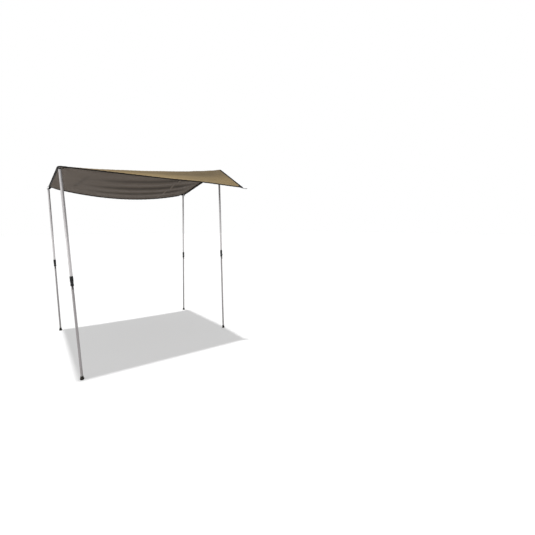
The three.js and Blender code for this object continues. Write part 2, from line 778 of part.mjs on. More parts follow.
// Lever outline in its own frame: the bolt's axis at the origin, the handle down and the collar towards +y
function clampLever() {
  const near = leverHeadRadius - leverStandOff;
  const far = near - leverThickness;
  const startAngle = -Math.acos(near / leverHeadRadius);
  const endAngle = Math.PI + Math.asin(-far / leverHeadRadius);
  const shape = new THREE.Shape();
  shape.absarc(0, 0, leverHeadRadius, startAngle, endAngle, false);
  shape.lineTo(far, -leverLength + leverLipRise);
  shape.lineTo(far - leverLip, -leverLength);
  shape.lineTo(far - leverLip + leverThickness, -leverLength);
  shape.lineTo(near, -leverLength + leverLipRise);
  shape.closePath();
  const settings = { depth: leverWidth, bevelEnabled: false, curveSegments: arcSteps };
  const geometry = new THREE.ExtrudeGeometry(shape, settings);
  geometry.translate(0, 0, -leverWidth / 2);
  geometry.rotateX(Math.PI / 2);
  geometry.rotateZ(Math.PI / 2);
  return subtract(outward(geometry), boltHole(leverWidth + overrun));
}

function clampBolt() {
  const half = leverWidth / 2 + fitGap + earThickness + fitGap;
  const shank = boltDiameter / 2;
  const head = boltHeadDiameter / 2;
  const geometry = turned([
    [0, -half - boltHeadHeight], [head, -half - boltHeadHeight], [head, -half], [shank, -half],
    [shank, half], [head, half], [head, half + boltHeadHeight], [0, half + boltHeadHeight],
  ], boltSides);
  geometry.rotateY(Math.PI / 2);
  return geometry;
}

// The foot is moulded round, and its sole is cut level with the ground however the pole leans
function footGeometry(lean) {
  const bore = lowerRadius + fitGap;
  const moulded = turned([
    [0, -footSpare], [footSole / 2, -footSpare], [footSole / 2, 0], [footFlare / 2, footFlareHeight],
    [footNeck / 2, footNeckHeight], [footNeck / 2, footHeight], [bore, footHeight],
    [bore, footFloor], [0, footFloor],
  ], collarSides);
  moulded.applyQuaternion(lean);
  const ground = new THREE.BoxGeometry(footFlare * 2, footFlare * 2, footSpare * 2 + overrun);
  ground.translate(0, 0, -(footSpare * 2 + overrun) / 2);
  return subtract(moulded, ground);
}

function addPole(name, foot, eyelet, sleeve) {
  const underEyelet = tabThickness / 2 + fitGap + flangeThickness + shoulderGap;
  const top = new THREE.Vector3(eyelet.centre.x, eyelet.centre.y, eyelet.height - underEyelet);
  const base = new THREE.Vector3(foot.x, foot.y, 0);
  const axis = top.clone().sub(base);
  const shoulder = axis.length();
  const pole = new THREE.Group();
  pole.position.copy(base);
  pole.quaternion.setFromUnitVectors(new THREE.Vector3(0, 0, 1), axis.normalize());
  part.add(pole);

  const upperTop = shoulder - shoulderHeight;
  const clampAt = upperTop - sleeve;
  addMesh(pole, `${name}_spigot_plug`, spigotPlug(shoulder), 'nylon');
  addMesh(pole, `${name}_upper_tube`, tubeGeometry(upperRadius, upperBore, clampAt, upperTop), 'steel');
  addMesh(pole, `${name}_clamp_collar`, clampCollar(), 'nylon').position.z = clampAt;
  const lever = addMesh(pole, `${name}_clamp_lever`, clampLever(), 'nylon');
  lever.position.set(0, -boltOut, clampAt - earCentreBelow);
  addMesh(pole, `${name}_clamp_bolt`, clampBolt(), 'bolt').position.copy(lever.position);

  const lowerFrom = footFloor + fitGap;
  const lowerTo = clampAt + tubeOverlap;
  addMesh(pole, `${name}_lower_tube`, tubeGeometry(lowerRadius, lowerBore, lowerFrom, lowerTo), 'steel');
  addMesh(pole, `${name}_guide_bush`, guideBush(lowerTo), 'nylon');
  addMesh(part, `${name}_foot`, footGeometry(pole.quaternion), 'rubber').position.copy(base);
}
addPole('outer_rear', outerRearFoot, eyelets.outer_rear, upperLength);
addPole('outer_front', outerFrontFoot, eyelets.outer_front, upperLength);
addPole('inner_front', innerFrontFoot, eyelets.inner_front, upperLength);
addPole('ridge', ridgeFoot, eyelets.peak, ridgeUpperLength);

// The origin is under the middle of the whole awning, on the ground
part.updateMatrixWorld(true);
const extent = new THREE.Box3().setFromObject(part, true);
const middle = extent.getCenter(new THREE.Vector3());
part.position.set(-middle.x, -middle.y, -extent.min.z);

export default part;
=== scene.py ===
# Side awning: a ridged canopy with a zip along one side, held up by four telescopic poles.
# Metres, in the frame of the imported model. Plan places on the cloth are measured from the middle of the
# rear strap's eyelet: x from the free side (negative) to the zipped side, y from the rear to the front.
import json
import math

import bmesh
import bpy
import numpy as np
from mathutils import Matrix, Vector


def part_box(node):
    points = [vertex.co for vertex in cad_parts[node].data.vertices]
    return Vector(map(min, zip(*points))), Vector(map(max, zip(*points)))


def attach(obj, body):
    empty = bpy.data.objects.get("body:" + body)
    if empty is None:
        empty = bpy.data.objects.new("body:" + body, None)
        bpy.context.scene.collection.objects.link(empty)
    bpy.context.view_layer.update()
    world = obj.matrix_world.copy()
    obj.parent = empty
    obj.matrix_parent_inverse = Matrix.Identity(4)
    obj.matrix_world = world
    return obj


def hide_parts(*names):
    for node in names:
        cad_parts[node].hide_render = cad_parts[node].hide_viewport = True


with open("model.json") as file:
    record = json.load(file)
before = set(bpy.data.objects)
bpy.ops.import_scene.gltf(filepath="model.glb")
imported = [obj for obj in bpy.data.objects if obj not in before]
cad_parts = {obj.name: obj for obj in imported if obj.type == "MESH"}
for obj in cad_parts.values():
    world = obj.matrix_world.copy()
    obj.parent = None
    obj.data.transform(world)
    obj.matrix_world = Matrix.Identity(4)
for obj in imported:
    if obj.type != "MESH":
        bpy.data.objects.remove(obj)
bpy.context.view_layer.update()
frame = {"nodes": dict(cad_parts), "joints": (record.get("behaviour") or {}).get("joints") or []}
joints = {joint["name"]: joint for joint in frame["joints"]}
strapLow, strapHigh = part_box("rear_strap_eyelet")
origin = np.array([(strapLow.x + strapHigh.x) / 2, (strapLow.y + strapHigh.y) / 2, 0])
print("frame loaded")


def mix(a, b, t):
    return a + (b - a) * t  # straight line from a at 0 to b at 1


def arch(t):
    return 4 * t * (1 - t)  # parabola: 0 at both ends, 1 halfway


def smooth(low, high, t):
    # 3s^2 - 2s^3, with s going from 0 to 1 between low and high
    s = np.clip((t - low) / (high - low), 0, 1)
    return s * s * (3 - 2 * s)


def unit(vectors):
    # each vector divided by its length
    return vectors / np.linalg.norm(vectors, axis=-1, keepdims=True)


def grid(points, wrapRows=False, wrapColumns=False, uv=None, finish=0, caps=False):
    # quads between neighbours i, j and i + 1, j + 1 of an array; a wrapped way joins its last to its first
    rows, columns = points.shape[:2]
    i, j = np.meshgrid(
        np.arange(rows - (not wrapRows)), np.arange(columns - (not wrapColumns)), indexing="ij"
    )
    i = i.ravel()
    j = j.ravel()
    down = (i + 1) % rows
    right = (j + 1) % columns
    near, far = i * columns, down * columns
    blocks = [np.stack([near + j, far + j, far + right, near + right], -1)]
    if uv is None:
        corners = np.zeros((blocks[0].size, 2))
    else:
        corners = np.stack([uv[i, j], uv[i + 1, j], uv[i + 1, j + 1], uv[i, j + 1]], 1).reshape(-1, 2)
    if caps:
        ends = np.arange(columns)
        blocks.append(np.stack([ends, ends + (rows - 1) * columns]))
        corners = np.concatenate([corners, np.zeros((2 * columns, 2))])
    return {"points": points.reshape(-1, 3), "faces": blocks, "uv": corners, "finish": finish}


def slab(top, bottom, uv=None, finishes=(0, 0)):
    # two skins over the same grid, joined all round by a rim
    def edge(pick):  # one side of the rim: the same edge of both skins, as a grid of two rows
        rim = np.stack([pick(top), pick(bottom)])
        return grid(rim, uv=None if uv is None else np.stack([pick(uv), pick(uv)]), finish=finishes[0])

    picks = (lambda a: a[0], lambda a: a[-1], lambda a: a[:, 0], lambda a: a[:, -1])
    skins = [grid(top, uv=uv, finish=finishes[0]), grid(bottom, uv=uv, finish=finishes[1])]
    return skins + [edge(pick) for pick in picks]


def placed(part, at, turn):
    # p = at + x X + y Y + z Z, where the rows of turn are the axes X, Y and Z
    return {**part, "points": np.asarray(at) + part["points"] @ np.asarray(turn)}


def rounded(corners, reach, steps=4):
    # each corner p gives way to the curve (1-t)^2 a + 2t(1-t) p + t^2 b, a and b lying reach along its sides
    p = np.array(corners, float)
    before = np.roll(p, 1, 0) - p
    after = np.roll(p, -1, 0) - p
    room = np.minimum(np.linalg.norm(before, axis=1), np.linalg.norm(after, axis=1)) * 0.48
    reach = np.minimum(reach, room)[:, None]
    a = (p + unit(before) * reach)[:, None]
    b = (p + unit(after) * reach)[:, None]
    t = np.linspace(0, 1, steps + 1)[None, :, None]
    return ((1 - t) ** 2 * a + 2 * t * (1 - t) * p[:, None] + t * t * b).reshape(-1, 2)


def revolve(profile, segments=56, closed=True, sweep=(0, 360), finish=0):
    # each profile point (r, z) goes round z: x = r cos a, y = r sin a
    full = sweep[1] - sweep[0] >= 360
    a = np.radians(np.linspace(sweep[0], sweep[1], segments, endpoint=not full))[:, None]
    ring = np.array(profile, float)
    points = np.stack([np.cos(a) * ring[:, 0], np.sin(a) * ring[:, 0], np.ones_like(a) * ring[:, 1]], -1)
    return grid(points, wrapRows=full, wrapColumns=closed, finish=finish, caps=closed and not full)


def sideways(outline):
    # outward normal at each point of a closed outline: the mean of its two sides' normals
    side = unit(np.roll(outline, -1, 0) - outline)
    across = np.stack([side[:, 1], -side[:, 0]], -1)
    turning = np.sum(outline[:, 0] * np.roll(outline[:, 1], -1) - outline[:, 1] * np.roll(outline[:, 0], -1))
    return unit(across + np.roll(across, 1, 0)) * np.sign(turning)


def extrude(outline, depth, edge=0.0004, hole=None, finish=0):
    # the outline carried from -depth/2 to depth/2, its rims rounded by angles a from 0 to 90 degrees:
    # inset edge (1 - cos a), depth depth/2 - edge (1 - sin a)
    a = np.radians([0, 30, 60, 90])
    levels = np.concatenate([-depth / 2 + edge * (1 - np.sin(a[::-1])), depth / 2 - edge * (1 - np.sin(a))])
    insets = np.concatenate([edge * (1 - np.cos(a[::-1])), edge * (1 - np.cos(a))])

    def wall(line, way):  # the line less its outward normal times each level's inset
        ring = line[None] - sideways(line)[None] * insets[:, None, None] * way
        return np.concatenate([ring, np.broadcast_to(levels[:, None, None], ring.shape[:2] + (1,))], -1)

    if hole is None:
        return grid(wall(outline, 1), wrapColumns=True, finish=finish, caps=True)
    rings = np.concatenate([wall(outline, 1), wall(hole, -1)[::-1]])
    return grid(rings, wrapRows=True, wrapColumns=True, finish=finish)


def scatter(template, faces, centres, along, up, finish=0):
    # copies of a small shape, its faces in blocks of one size: p = c + x side + y along + z up at each centre
    along = unit(along)
    side = unit(np.cross(along, up))
    up = np.cross(side, along)
    axes = np.stack([side, along, up], 1)
    points = centres[:, None] + np.einsum("vk,nkd->nvd", template, axes)
    shift = (np.arange(len(centres)) * len(template))[:, None, None]
    blocks = [(np.array(block) + shift).reshape(-1, len(block[0])) for block in faces]
    corners = sum(block.size for block in blocks)
    return {"points": points.reshape(-1, 3), "faces": blocks, "uv": np.zeros((corners, 2)), "finish": finish}


def addPiece(name, parts, finishes, body, stands=(), wall=0, angle=32, weld=True):
    # joins the parts into one mesh, welds it, turns its faces outwards and lets it ride on a body
    starts = np.cumsum([0] + [len(part["points"]) for part in parts])
    faces = []
    for part, start in zip(parts, starts):
        for block in part["faces"]:
            faces += (block + start).tolist()
    mesh = bpy.data.meshes.new(name)
    mesh.from_pydata(np.concatenate([part["points"] for part in parts]).tolist(), [], faces)
    layer = mesh.uv_layers.new(name="surface")
    layer.data.foreach_set("uv", np.concatenate([part["uv"] for part in parts]).ravel())
    counts = [sum(len(block) for block in part["faces"]) for part in parts]
    finished = np.repeat([part["finish"] for part in parts], counts)
    mesh.polygons.foreach_set("material_index", finished)
    if weld:
        shape = bmesh.new()
        shape.from_mesh(mesh)
        bmesh.ops.remove_doubles(shape, verts=shape.verts, dist=2e-6)
        bmesh.ops.dissolve_degenerate(shape, edges=shape.edges, dist=1e-7)
        bmesh.ops.recalc_face_normals(shape, faces=shape.faces)
        shape.to_mesh(mesh)
        shape.free()
    mesh.shade_smooth()
    mesh.set_sharp_from_angle(angle=math.radians(angle))
    for finish in finishes:
        mesh.materials.append(finish)
    piece = bpy.data.objects.new(name, mesh)
    bpy.context.scene.collection.objects.link(piece)
    if wall:
        skin = piece.modifiers.new("wall", "SOLIDIFY")
        skin.thickness = wall
        skin.offset = 0
    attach(piece, body)
    if stands:
        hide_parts(*stands)
    return piece


def put(tree, kind, inputs=None, **settings):
    # a node with its settings; each input is a value, or the output that feeds it
    node = tree.nodes.new(kind)
    for key, value in settings.items():
        setattr(node, key, value)
    for key, value in (inputs or {}).items():
        if isinstance(value, bpy.types.NodeSocket):
            tree.links.new(value, node.inputs[key])
        else:
            node.inputs[key].default_value = value
    return node


def calc(tree, operation, a, b=0.0, c=0.0):
    # one sum on numbers, such as a b + c for MULTIPLY_ADD
    return put(tree, "ShaderNodeMath", {0: a, 1: b, 2: c}, operation=operation).outputs[0]


def spanned(tree, value, low, high, toLow=0.0, toHigh=1.0):
    # a value brought smoothly from the span low..high to the span toLow..toHigh
    inputs = {"Value": value, "From Min": low, "From Max": high, "To Min": toLow, "To Max": toHigh}
    return put(tree, "ShaderNodeMapRange", inputs, interpolation_type="SMOOTHSTEP").outputs[0]


def blend(tree, share, a, b, way="MIX"):
    # colours: a (1 - share) + b share, or a times b for MULTIPLY
    return put(tree, "ShaderNodeMix", {0: share, 6: a, 7: b}, data_type="RGBA", blend_type=way).outputs[2]


def grain(tree, vector, scale, detail=3.0, roughness=0.55):
    # noise from 0 to 1 with its mean near 0.5: octaves that halve in size and shrink by the roughness
    inputs = {"Vector": vector, "Scale": scale, "Detail": detail, "Roughness": roughness}
    return put(tree, "ShaderNodeTexNoise", inputs).outputs[0]


def newGroup(name, inputs, outputs):
    # a shader node group with named sockets
    tree = bpy.data.node_groups.new(name, "ShaderNodeTree")
    kinds = {"V": "NodeSocketVector", "F": "NodeSocketFloat", "C": "NodeSocketColor"}
    for label, (kind, value) in inputs.items():
        socket = tree.interface.new_socket(label, in_out="INPUT", socket_type=kinds[kind])
        if value is not None:
            socket.default_value = value
    for label, kind in outputs.items():
        tree.interface.new_socket(label, in_out="OUTPUT", socket_type=kinds[kind])
    return tree, tree.nodes.new("NodeGroupInput").outputs, tree.nodes.new("NodeGroupOutput").inputs


def useGroup(tree, name, **inputs):
    # one use of a node group, with its own values
    return put(tree, "ShaderNodeGroup", inputs, node_tree=bpy.data.node_groups[name]).outputs


weave = {"mean": 0.64, "depth": 0.25, "wearRough": 0.08}  # mean height of the threads, and what they do
ageing = {
    "driftScale": 1.7, "driftSpan": (0.38, 0.68), "blotchScale": 7.0, "blotchSpan": (0.52, 0.78),
    "blotchShare": 0.45, "speckScale": 160.0, "speckSpan": (0.63, 0.78), "speckShare": 0.12,
}
drawing = {"lineStretch": 0.012, "scratchStretch": 0.05, "scratchScale": 420.0, "scratchSpan": (0.66, 0.74)}
handling = {"fineTimes": 6.0, "span": (0.22, 0.42)}
dusting = {"patchScale": 60.0, "patchSpan": (0.35, 0.65)}


def plainWeaveGroup():
    # threads cross one over one: height = |sin| of the thread on top, picked by a checker of whole threads
    tree, given, out = newGroup(
        "plainWeave", {"Vector": ("V", None), "Across": ("F", 0.001), "Along": ("F", 0.001)}, {"Height": "F"}
    )
    axes = put(tree, "ShaderNodeSeparateXYZ", {0: given["Vector"]}).outputs
    a = calc(tree, "DIVIDE", axes[0], given["Across"])
    b = calc(tree, "DIVIDE", axes[1], given["Along"])
    warp = calc(tree, "ABSOLUTE", calc(tree, "SINE", calc(tree, "MULTIPLY", a, math.pi)))
    weft = calc(tree, "ABSOLUTE", calc(tree, "SINE", calc(tree, "MULTIPLY", b, math.pi)))
    whole = calc(tree, "ADD", calc(tree, "FLOOR", a), calc(tree, "FLOOR", b))
    over = calc(tree, "FLOORED_MODULO", whole, 2.0)
    under = calc(tree, "SUBTRACT", 1.0, over)
    height = calc(tree, "MULTIPLY_ADD", warp, over, calc(tree, "MULTIPLY", weft, under))
    tree.links.new(height, out["Height"])


def clothAgeGroup():
    # broad drifts of tone, blotches and specks, each a noise of its own size, laid over the cloth's colour
    tones = {label: ("C", None) for label in ("Color", "Faded", "Soiled")}
    tree, given, out = newGroup(
        "clothAge", {"Vector": ("V", None), **tones, "Amount": ("F", 1.0)}, {"Color": "C", "Wear": "F"}
    )
    place = given["Vector"]
    drift = spanned(tree, grain(tree, place, ageing["driftScale"], 3.0), *ageing["driftSpan"])
    blotch = spanned(tree, grain(tree, place, ageing["blotchScale"], 5.0, 0.62), *ageing["blotchSpan"])
    specks = spanned(tree, grain(tree, place, ageing["speckScale"], 2.0), *ageing["speckSpan"])
    faded = blend(tree, calc(tree, "MULTIPLY", drift, given["Amount"]), given["Color"], given["Faded"])
    share = calc(tree, "MULTIPLY", calc(tree, "MULTIPLY", blotch, ageing["blotchShare"]), given["Amount"])
    soiled = blend(tree, share, faded, given["Soiled"])
    spotted = blend(tree, calc(tree, "MULTIPLY", specks, ageing["speckShare"]), soiled, given["Soiled"])
    tree.links.new(spotted, out["Color"])
    tree.links.new(blotch, out["Wear"])


def drawnTubeGroup():
    # draw marks: noise squeezed to fine lines along z, and a few long scratches where a coarser one peaks
    tree, given, out = newGroup(
        "drawnTube", {"Vector": ("V", None), "Fineness": ("F", 900.0)}, {"Lines": "F", "Scratches": "F"}
    )
    place, flat = given["Vector"], (1.0, 1.0)
    squeeze = {"Vector": place, "Scale": flat + (drawing["lineStretch"],)}
    lines = grain(tree, put(tree, "ShaderNodeMapping", squeeze).outputs[0], given["Fineness"], 2.0)
    squeeze = {"Vector": place, "Scale": flat + (drawing["scratchStretch"],)}
    long = put(tree, "ShaderNodeMapping", squeeze).outputs[0]
    rough = grain(tree, long, drawing["scratchScale"], 4.0, 0.7)
    scratches = spanned(tree, rough, *drawing["scratchSpan"])
    tree.links.new(lines, out["Lines"])
    tree.links.new(scratches, out["Scratches"])


def handledGroup():
    # smudges and rubbed places from hands and packing: the product of two noises over a threshold
    tree, given, out = newGroup("handled", {"Vector": ("V", None), "Size": ("F", 20.0)}, {"Mask": "F"})
    wide = grain(tree, given["Vector"], given["Size"], 3.0)
    size = calc(tree, "MULTIPLY", given["Size"], handling["fineTimes"])
    fine = grain(tree, given["Vector"], size, 4.0, 0.65)
    mask = spanned(tree, calc(tree, "MULTIPLY", wide, fine), *handling["span"])
    tree.links.new(mask, out["Mask"])


def mouldedGrainGroup():
    # spark-eroded tool finish: distance to the nearest cell's middle, plus half a noise of the same size
    tree, given, out = newGroup(
        "mouldedGrain", {"Vector": ("V", None), "Size": ("F", 1600.0)}, {"Height": "F"}
    )
    cells = put(tree, "ShaderNodeTexVoronoi", {"Vector": given["Vector"], "Scale": given["Size"]}).outputs[0]
    height = calc(tree, "MULTIPLY_ADD", grain(tree, given["Vector"], given["Size"], 2.0), 0.5, cells)
    tree.links.new(height, out["Height"])


def groundDustGroup():
    # dust from the ground: (1 - z / reach) times a noise, and never below 0
    tree, given, out = newGroup("groundDust", {"Vector": ("V", None), "Reach": ("F", 0.15)}, {"Mask": "F"})
    height = put(tree, "ShaderNodeSeparateXYZ", {0: given["Vector"]}).outputs[2]
    low = calc(tree, "SUBTRACT", 1.0, calc(tree, "DIVIDE", height, given["Reach"]))
    noise = grain(tree, given["Vector"], dusting["patchScale"], 5.0, 0.65)
    patchy = calc(tree, "MULTIPLY", low, spanned(tree, noise, *dusting["patchSpan"]))
    tree.links.new(calc(tree, "MAXIMUM", patchy, 0.0), out["Mask"])


plainWeaveGroup()
clothAgeGroup()
drawnTubeGroup()
handledGroup()
mouldedGrainGroup()
groundDustGroup()


def newMaterial(name, **sockets):
    # a Principled material; plain numbers stand on its own sockets
    material = bpy.data.materials.new(name)
    material.use_nodes = True
    tree = material.node_tree
    shader = tree.nodes["Principled BSDF"]
    for key, value in sockets.items():
        shader.inputs[key.replace("_", " ")].default_value = value
    return material, tree, shader


def bump(tree, shader, height, distance, strength=1.0):
    # tilts the normal by the slope of height times distance
    raised = put(tree, "ShaderNodeBump", {"Height": height, "Distance": distance, "Strength": strength})
    tree.links.new(raised.outputs[0], shader.inputs["Normal"])


def wovenMaterial(name, look):
    # a woven cloth: colour from age, with painted shade between the weave's threads and, where the look has
    # them, in the cloth's creases, towards its crest and towards its zip side; roughness from wear, bump from
    # threads and fine creasing
    material, tree, shader = newMaterial(
        name, Sheen_Weight=look["sheen"], Sheen_Roughness=0.5, Specular_IOR_Level=look["specular"]
    )
    surface = put(tree, "ShaderNodeUVMap", uv_map="surface").outputs[0]
    place = put(tree, "ShaderNodeTexCoord").outputs["Object"]
    tones = {"Color": look["color"], "Faded": look["faded"], "Soiled": look["soiled"]}
    aged = useGroup(tree, "clothAge", Vector=place, Amount=look["age"], **tones)
    across, along = look["threads"]
    woven = useGroup(tree, "plainWeave", Vector=surface, Across=across, Along=along)
    # painted shade between the threads: the colour is darker where the weave lies low, by the look's relief
    shade = calc(tree, "MULTIPLY_ADD", woven["Height"], look["relief"], 1 - look["relief"] * weave["mean"])
    # painted shade: each part of the cloth's attribute darkens the colour by the look's own depth, in the
    # creases, towards the crest and towards the zip side
    if "paintedShade" in look:
        paintedShade = put(tree, "ShaderNodeAttribute", attribute_name="paintedShade").outputs["Vector"]
        axes = put(tree, "ShaderNodeSeparateXYZ", {0: paintedShade}).outputs
        for axis, depth in zip(axes, look["paintedShade"]):
            shade = calc(tree, "MULTIPLY", shade, calc(tree, "MULTIPLY_ADD", axis, -depth, 1.0))
    paintedShadeGrey = put(tree, "ShaderNodeCombineColor", {0: shade, 1: shade, 2: shade}).outputs[0]
    tree.links.new(blend(tree, 1.0, aged["Color"], paintedShadeGrey, "MULTIPLY"), shader.inputs["Base Color"])
    roughness = calc(tree, "MULTIPLY_ADD", aged["Wear"], weave["wearRough"], look["roughness"])
    tree.links.new(roughness, shader.inputs["Roughness"])
    creased = calc(tree, "MULTIPLY", grain(tree, place, look["creaseScale"], 4.0, 0.6), look["crease"])
    height = calc(tree, "MULTIPLY_ADD", woven["Height"], across * weave["depth"], creased)
    bump(tree, shader, height, 1.0, look["bump"])
    return material


# the last three numbers of each canopy cloth look are the depths of painted shade: in the creases, towards
# the crest and towards the zip side
clothTopLook = {
    "color": (0.325, 0.226, 0.094, 1), "faded": (0.378, 0.268, 0.117, 1), "soiled": (0.250, 0.173, 0.073, 1),
    "age": 0.8, "threads": (0.0007, 0.0006), "relief": 0.28, "roughness": 0.78, "sheen": 0.08,
    "specular": 0.2, "creaseScale": 26.0, "crease": 0.0009, "bump": 0.55, "paintedShade": (0.16, 0.43, 0.38),
}
clothUnderLook = {
    "color": (0.084, 0.067, 0.053, 1), "faded": (0.097, 0.078, 0.062, 1), "soiled": (0.066, 0.052, 0.040, 1),
    "age": 0.7, "threads": (0.0007, 0.0006), "relief": 0.2, "roughness": 0.75, "sheen": 0.0,
    "specular": 0.08, "creaseScale": 26.0, "crease": 0.0009, "bump": 0.5, "paintedShade": (0.52, 0.0, 0.0),
}
bindingLook = {
    "color": (0.0085, 0.0065, 0.005, 1), "faded": (0.012, 0.0095, 0.0075, 1),
    "soiled": (0.017, 0.014, 0.011, 1), "age": 0.6, "threads": (0.0011, 0.0018), "relief": 0.35,
    "roughness": 0.75, "sheen": 0.0, "specular": 0.12, "creaseScale": 60.0, "crease": 0.0004, "bump": 0.7,
}
webbingLook = {
    "color": (0.0065, 0.006, 0.006, 1), "faded": (0.010, 0.0095, 0.009, 1),
    "soiled": (0.016, 0.015, 0.013, 1), "age": 0.6, "threads": (0.0022, 0.0015), "relief": 0.4,
    "roughness": 0.7, "sheen": 0.0, "specular": 0.2, "creaseScale": 90.0, "crease": 0.0003, "bump": 0.9,
}
zipTapeLook = {
    "color": (0.006, 0.0056, 0.0055, 1), "faded": (0.009, 0.0085, 0.008, 1),
    "soiled": (0.014, 0.013, 0.012, 1), "age": 0.5, "threads": (0.0013, 0.0009), "relief": 0.35,
    "roughness": 0.75, "sheen": 0.0, "specular": 0.15, "creaseScale": 90.0, "crease": 0.0002, "bump": 0.8,
}
clothTop = wovenMaterial("cloth_top", clothTopLook)
clothUnder = wovenMaterial("cloth_under", clothUnderLook)
seamTapeLook = {**clothUnderLook, "color": (0.104, 0.085, 0.068, 1), "faded": (0.116, 0.094, 0.075, 1)}
seamTape = wovenMaterial("seam_tape", seamTapeLook)
binding = wovenMaterial("edge_binding", bindingLook)
webbing = wovenMaterial("webbing", webbingLook)
zipTape = wovenMaterial("zip_tape", zipTapeLook)


sewing = {"plyScale": 700.0, "plyTwist": 1.5, "darken": 0.6, "roughness": (0.72, 0.55), "relief": 0.0001}


def threadMaterial(name, color):
    # a twisted sewing thread: fine ply lines, a bent wave, in its roughness and its bump, and as painted
    # shade that darkens its colour in the grooves between the plies
    material, tree, shader = newMaterial(name, Sheen_Weight=0.2, Specular_IOR_Level=0.4)
    place = put(tree, "ShaderNodeTexCoord").outputs["Object"]
    inputs = {"Vector": place, "Scale": sewing["plyScale"], "Distortion": sewing["plyTwist"]}
    ply = put(tree, "ShaderNodeTexWave", inputs).outputs[1]
    # painted shade in the grooves between the plies
    dark = tuple(channel * sewing["darken"] for channel in color[:3]) + (1,)
    tree.links.new(blend(tree, ply, dark, color), shader.inputs["Base Color"])
    tree.links.new(spanned(tree, ply, 0.0, 1.0, *sewing["roughness"]), shader.inputs["Roughness"])
    bump(tree, shader, ply, sewing["relief"], 0.5)
    return material


def metalMaterial(name, look):
    # bare or plated metal: draw lines along z, scratches, smudges and ground dust over one colour
    material, tree, shader = newMaterial(name, Specular_IOR_Level=0.5)
    place = put(tree, "ShaderNodeTexCoord").outputs["Object"]
    drawn = useGroup(tree, "drawnTube", Vector=place, Fineness=look["fineness"])
    hands = useGroup(tree, "handled", Vector=place, Size=look["smudgeSize"])
    dust = useGroup(tree, "groundDust", Vector=place, Reach=look["dustReach"])
    lined = blend(tree, drawn["Lines"], look["dark"], look["color"])
    share = calc(tree, "MULTIPLY", drawn["Scratches"], look["scratches"])
    marked = blend(tree, share, lined, look["scratched"])
    smudged = blend(tree, calc(tree, "MULTIPLY", hands["Mask"], look["smudge"]), marked, look["dark"])
    dusty = blend(tree, calc(tree, "MULTIPLY", dust["Mask"], look["dust"]), smudged, look["dustColor"])
    tree.links.new(dusty, shader.inputs["Base Color"])
    rough = calc(tree, "MULTIPLY_ADD", hands["Mask"], look["smudgeRough"], look["roughness"])
    rough = calc(tree, "MULTIPLY_ADD", drawn["Lines"], look["lineRough"], rough)
    rough = calc(tree, "MULTIPLY_ADD", dust["Mask"], look["dustRough"], rough)
    tree.links.new(rough, shader.inputs["Roughness"])
    metal = calc(tree, "MULTIPLY_ADD", dust["Mask"], -look["dustDull"], look["metallic"])
    tree.links.new(metal, shader.inputs["Metallic"])
    height = calc(tree, "SUBTRACT", drawn["Lines"], drawn["Scratches"])
    bump(tree, shader, height, look["relief"], 0.4)
    return material


poleSteelLook = {
    "color": (0.52, 0.50, 0.50, 1), "dark": (0.45, 0.435, 0.44, 1), "scratched": (0.62, 0.60, 0.60, 1),
    "metallic": 0.92, "roughness": 0.26, "fineness": 900.0, "scratches": 0.35, "smudgeSize": 14.0,
    "smudge": 0.14, "smudgeRough": 0.06, "lineRough": 0.05, "relief": 0.00002,
    "dustReach": 0.22, "dust": 0.25, "dustColor": (0.24, 0.21, 0.17, 1), "dustRough": 0.4, "dustDull": 0.3,
}
# the lower tubes' steel: the pole steel in a darker colour, which paints shade on the lower tubes
lowerSteelShadeLook = {
    **poleSteelLook, "color": (0.33, 0.315, 0.315, 1), "dark": (0.27, 0.255, 0.26, 1), "roughness": 0.3,
}
boltSteelLook = {
    **poleSteelLook, "color": (0.52, 0.52, 0.52, 1), "dark": (0.36, 0.36, 0.36, 1), "roughness": 0.3,
    "fineness": 2600.0, "smudgeSize": 90.0,
}
eyeletLook = {
    **poleSteelLook, "color": (0.070, 0.066, 0.062, 1), "dark": (0.035, 0.033, 0.031, 1), "roughness": 0.32,
    "fineness": 3000.0, "smudgeSize": 120.0,
}
zipMetalLook = {
    **poleSteelLook, "color": (0.060, 0.058, 0.056, 1), "dark": (0.03, 0.03, 0.03, 1), "roughness": 0.36,
    "fineness": 2600.0, "smudgeSize": 150.0, "scratched": (0.35, 0.35, 0.35, 1),
}
poleSteel = metalMaterial("pole_steel", poleSteelLook)
lowerSteelShade = metalMaterial("pole_steel_lower_painted_shade", lowerSteelShadeLook)
boltSteel = metalMaterial("bolt_steel", boltSteelLook)
eyeletMetal = metalMaterial("eyelet_metal", eyeletLook)
zipMetal = metalMaterial("zip_metal", zipMetalLook)


def mouldedMaterial(name, look):
    # moulded nylon or rubber: tool grain in the bump, paler rubbed places, dust near the ground
    material, tree, shader = newMaterial(name, Specular_IOR_Level=look["specular"])
    place = put(tree, "ShaderNodeTexCoord").outputs["Object"]
    cast = useGroup(tree, "mouldedGrain", Vector=place, Size=look["grain"])
    hands = useGroup(tree, "handled", Vector=place, Size=look["smudgeSize"])
    dust = useGroup(tree, "groundDust", Vector=place, Reach=look["dustReach"])
    rubbed = blend(tree, calc(tree, "MULTIPLY", hands["Mask"], look["rub"]), look["color"], look["rubbed"])
    dusty = blend(tree, calc(tree, "MULTIPLY", dust["Mask"], look["dust"]), rubbed, look["dustColor"])
    tree.links.new(dusty, shader.inputs["Base Color"])
    rough = calc(tree, "MULTIPLY_ADD", hands["Mask"], -look["rubSmooth"], look["roughness"])
    rough = calc(tree, "MULTIPLY_ADD", dust["Mask"], look["dustRough"], rough)
    tree.links.new(rough, shader.inputs["Roughness"])
    bump(tree, shader, cast["Height"], look["relief"], 0.6)
    return material


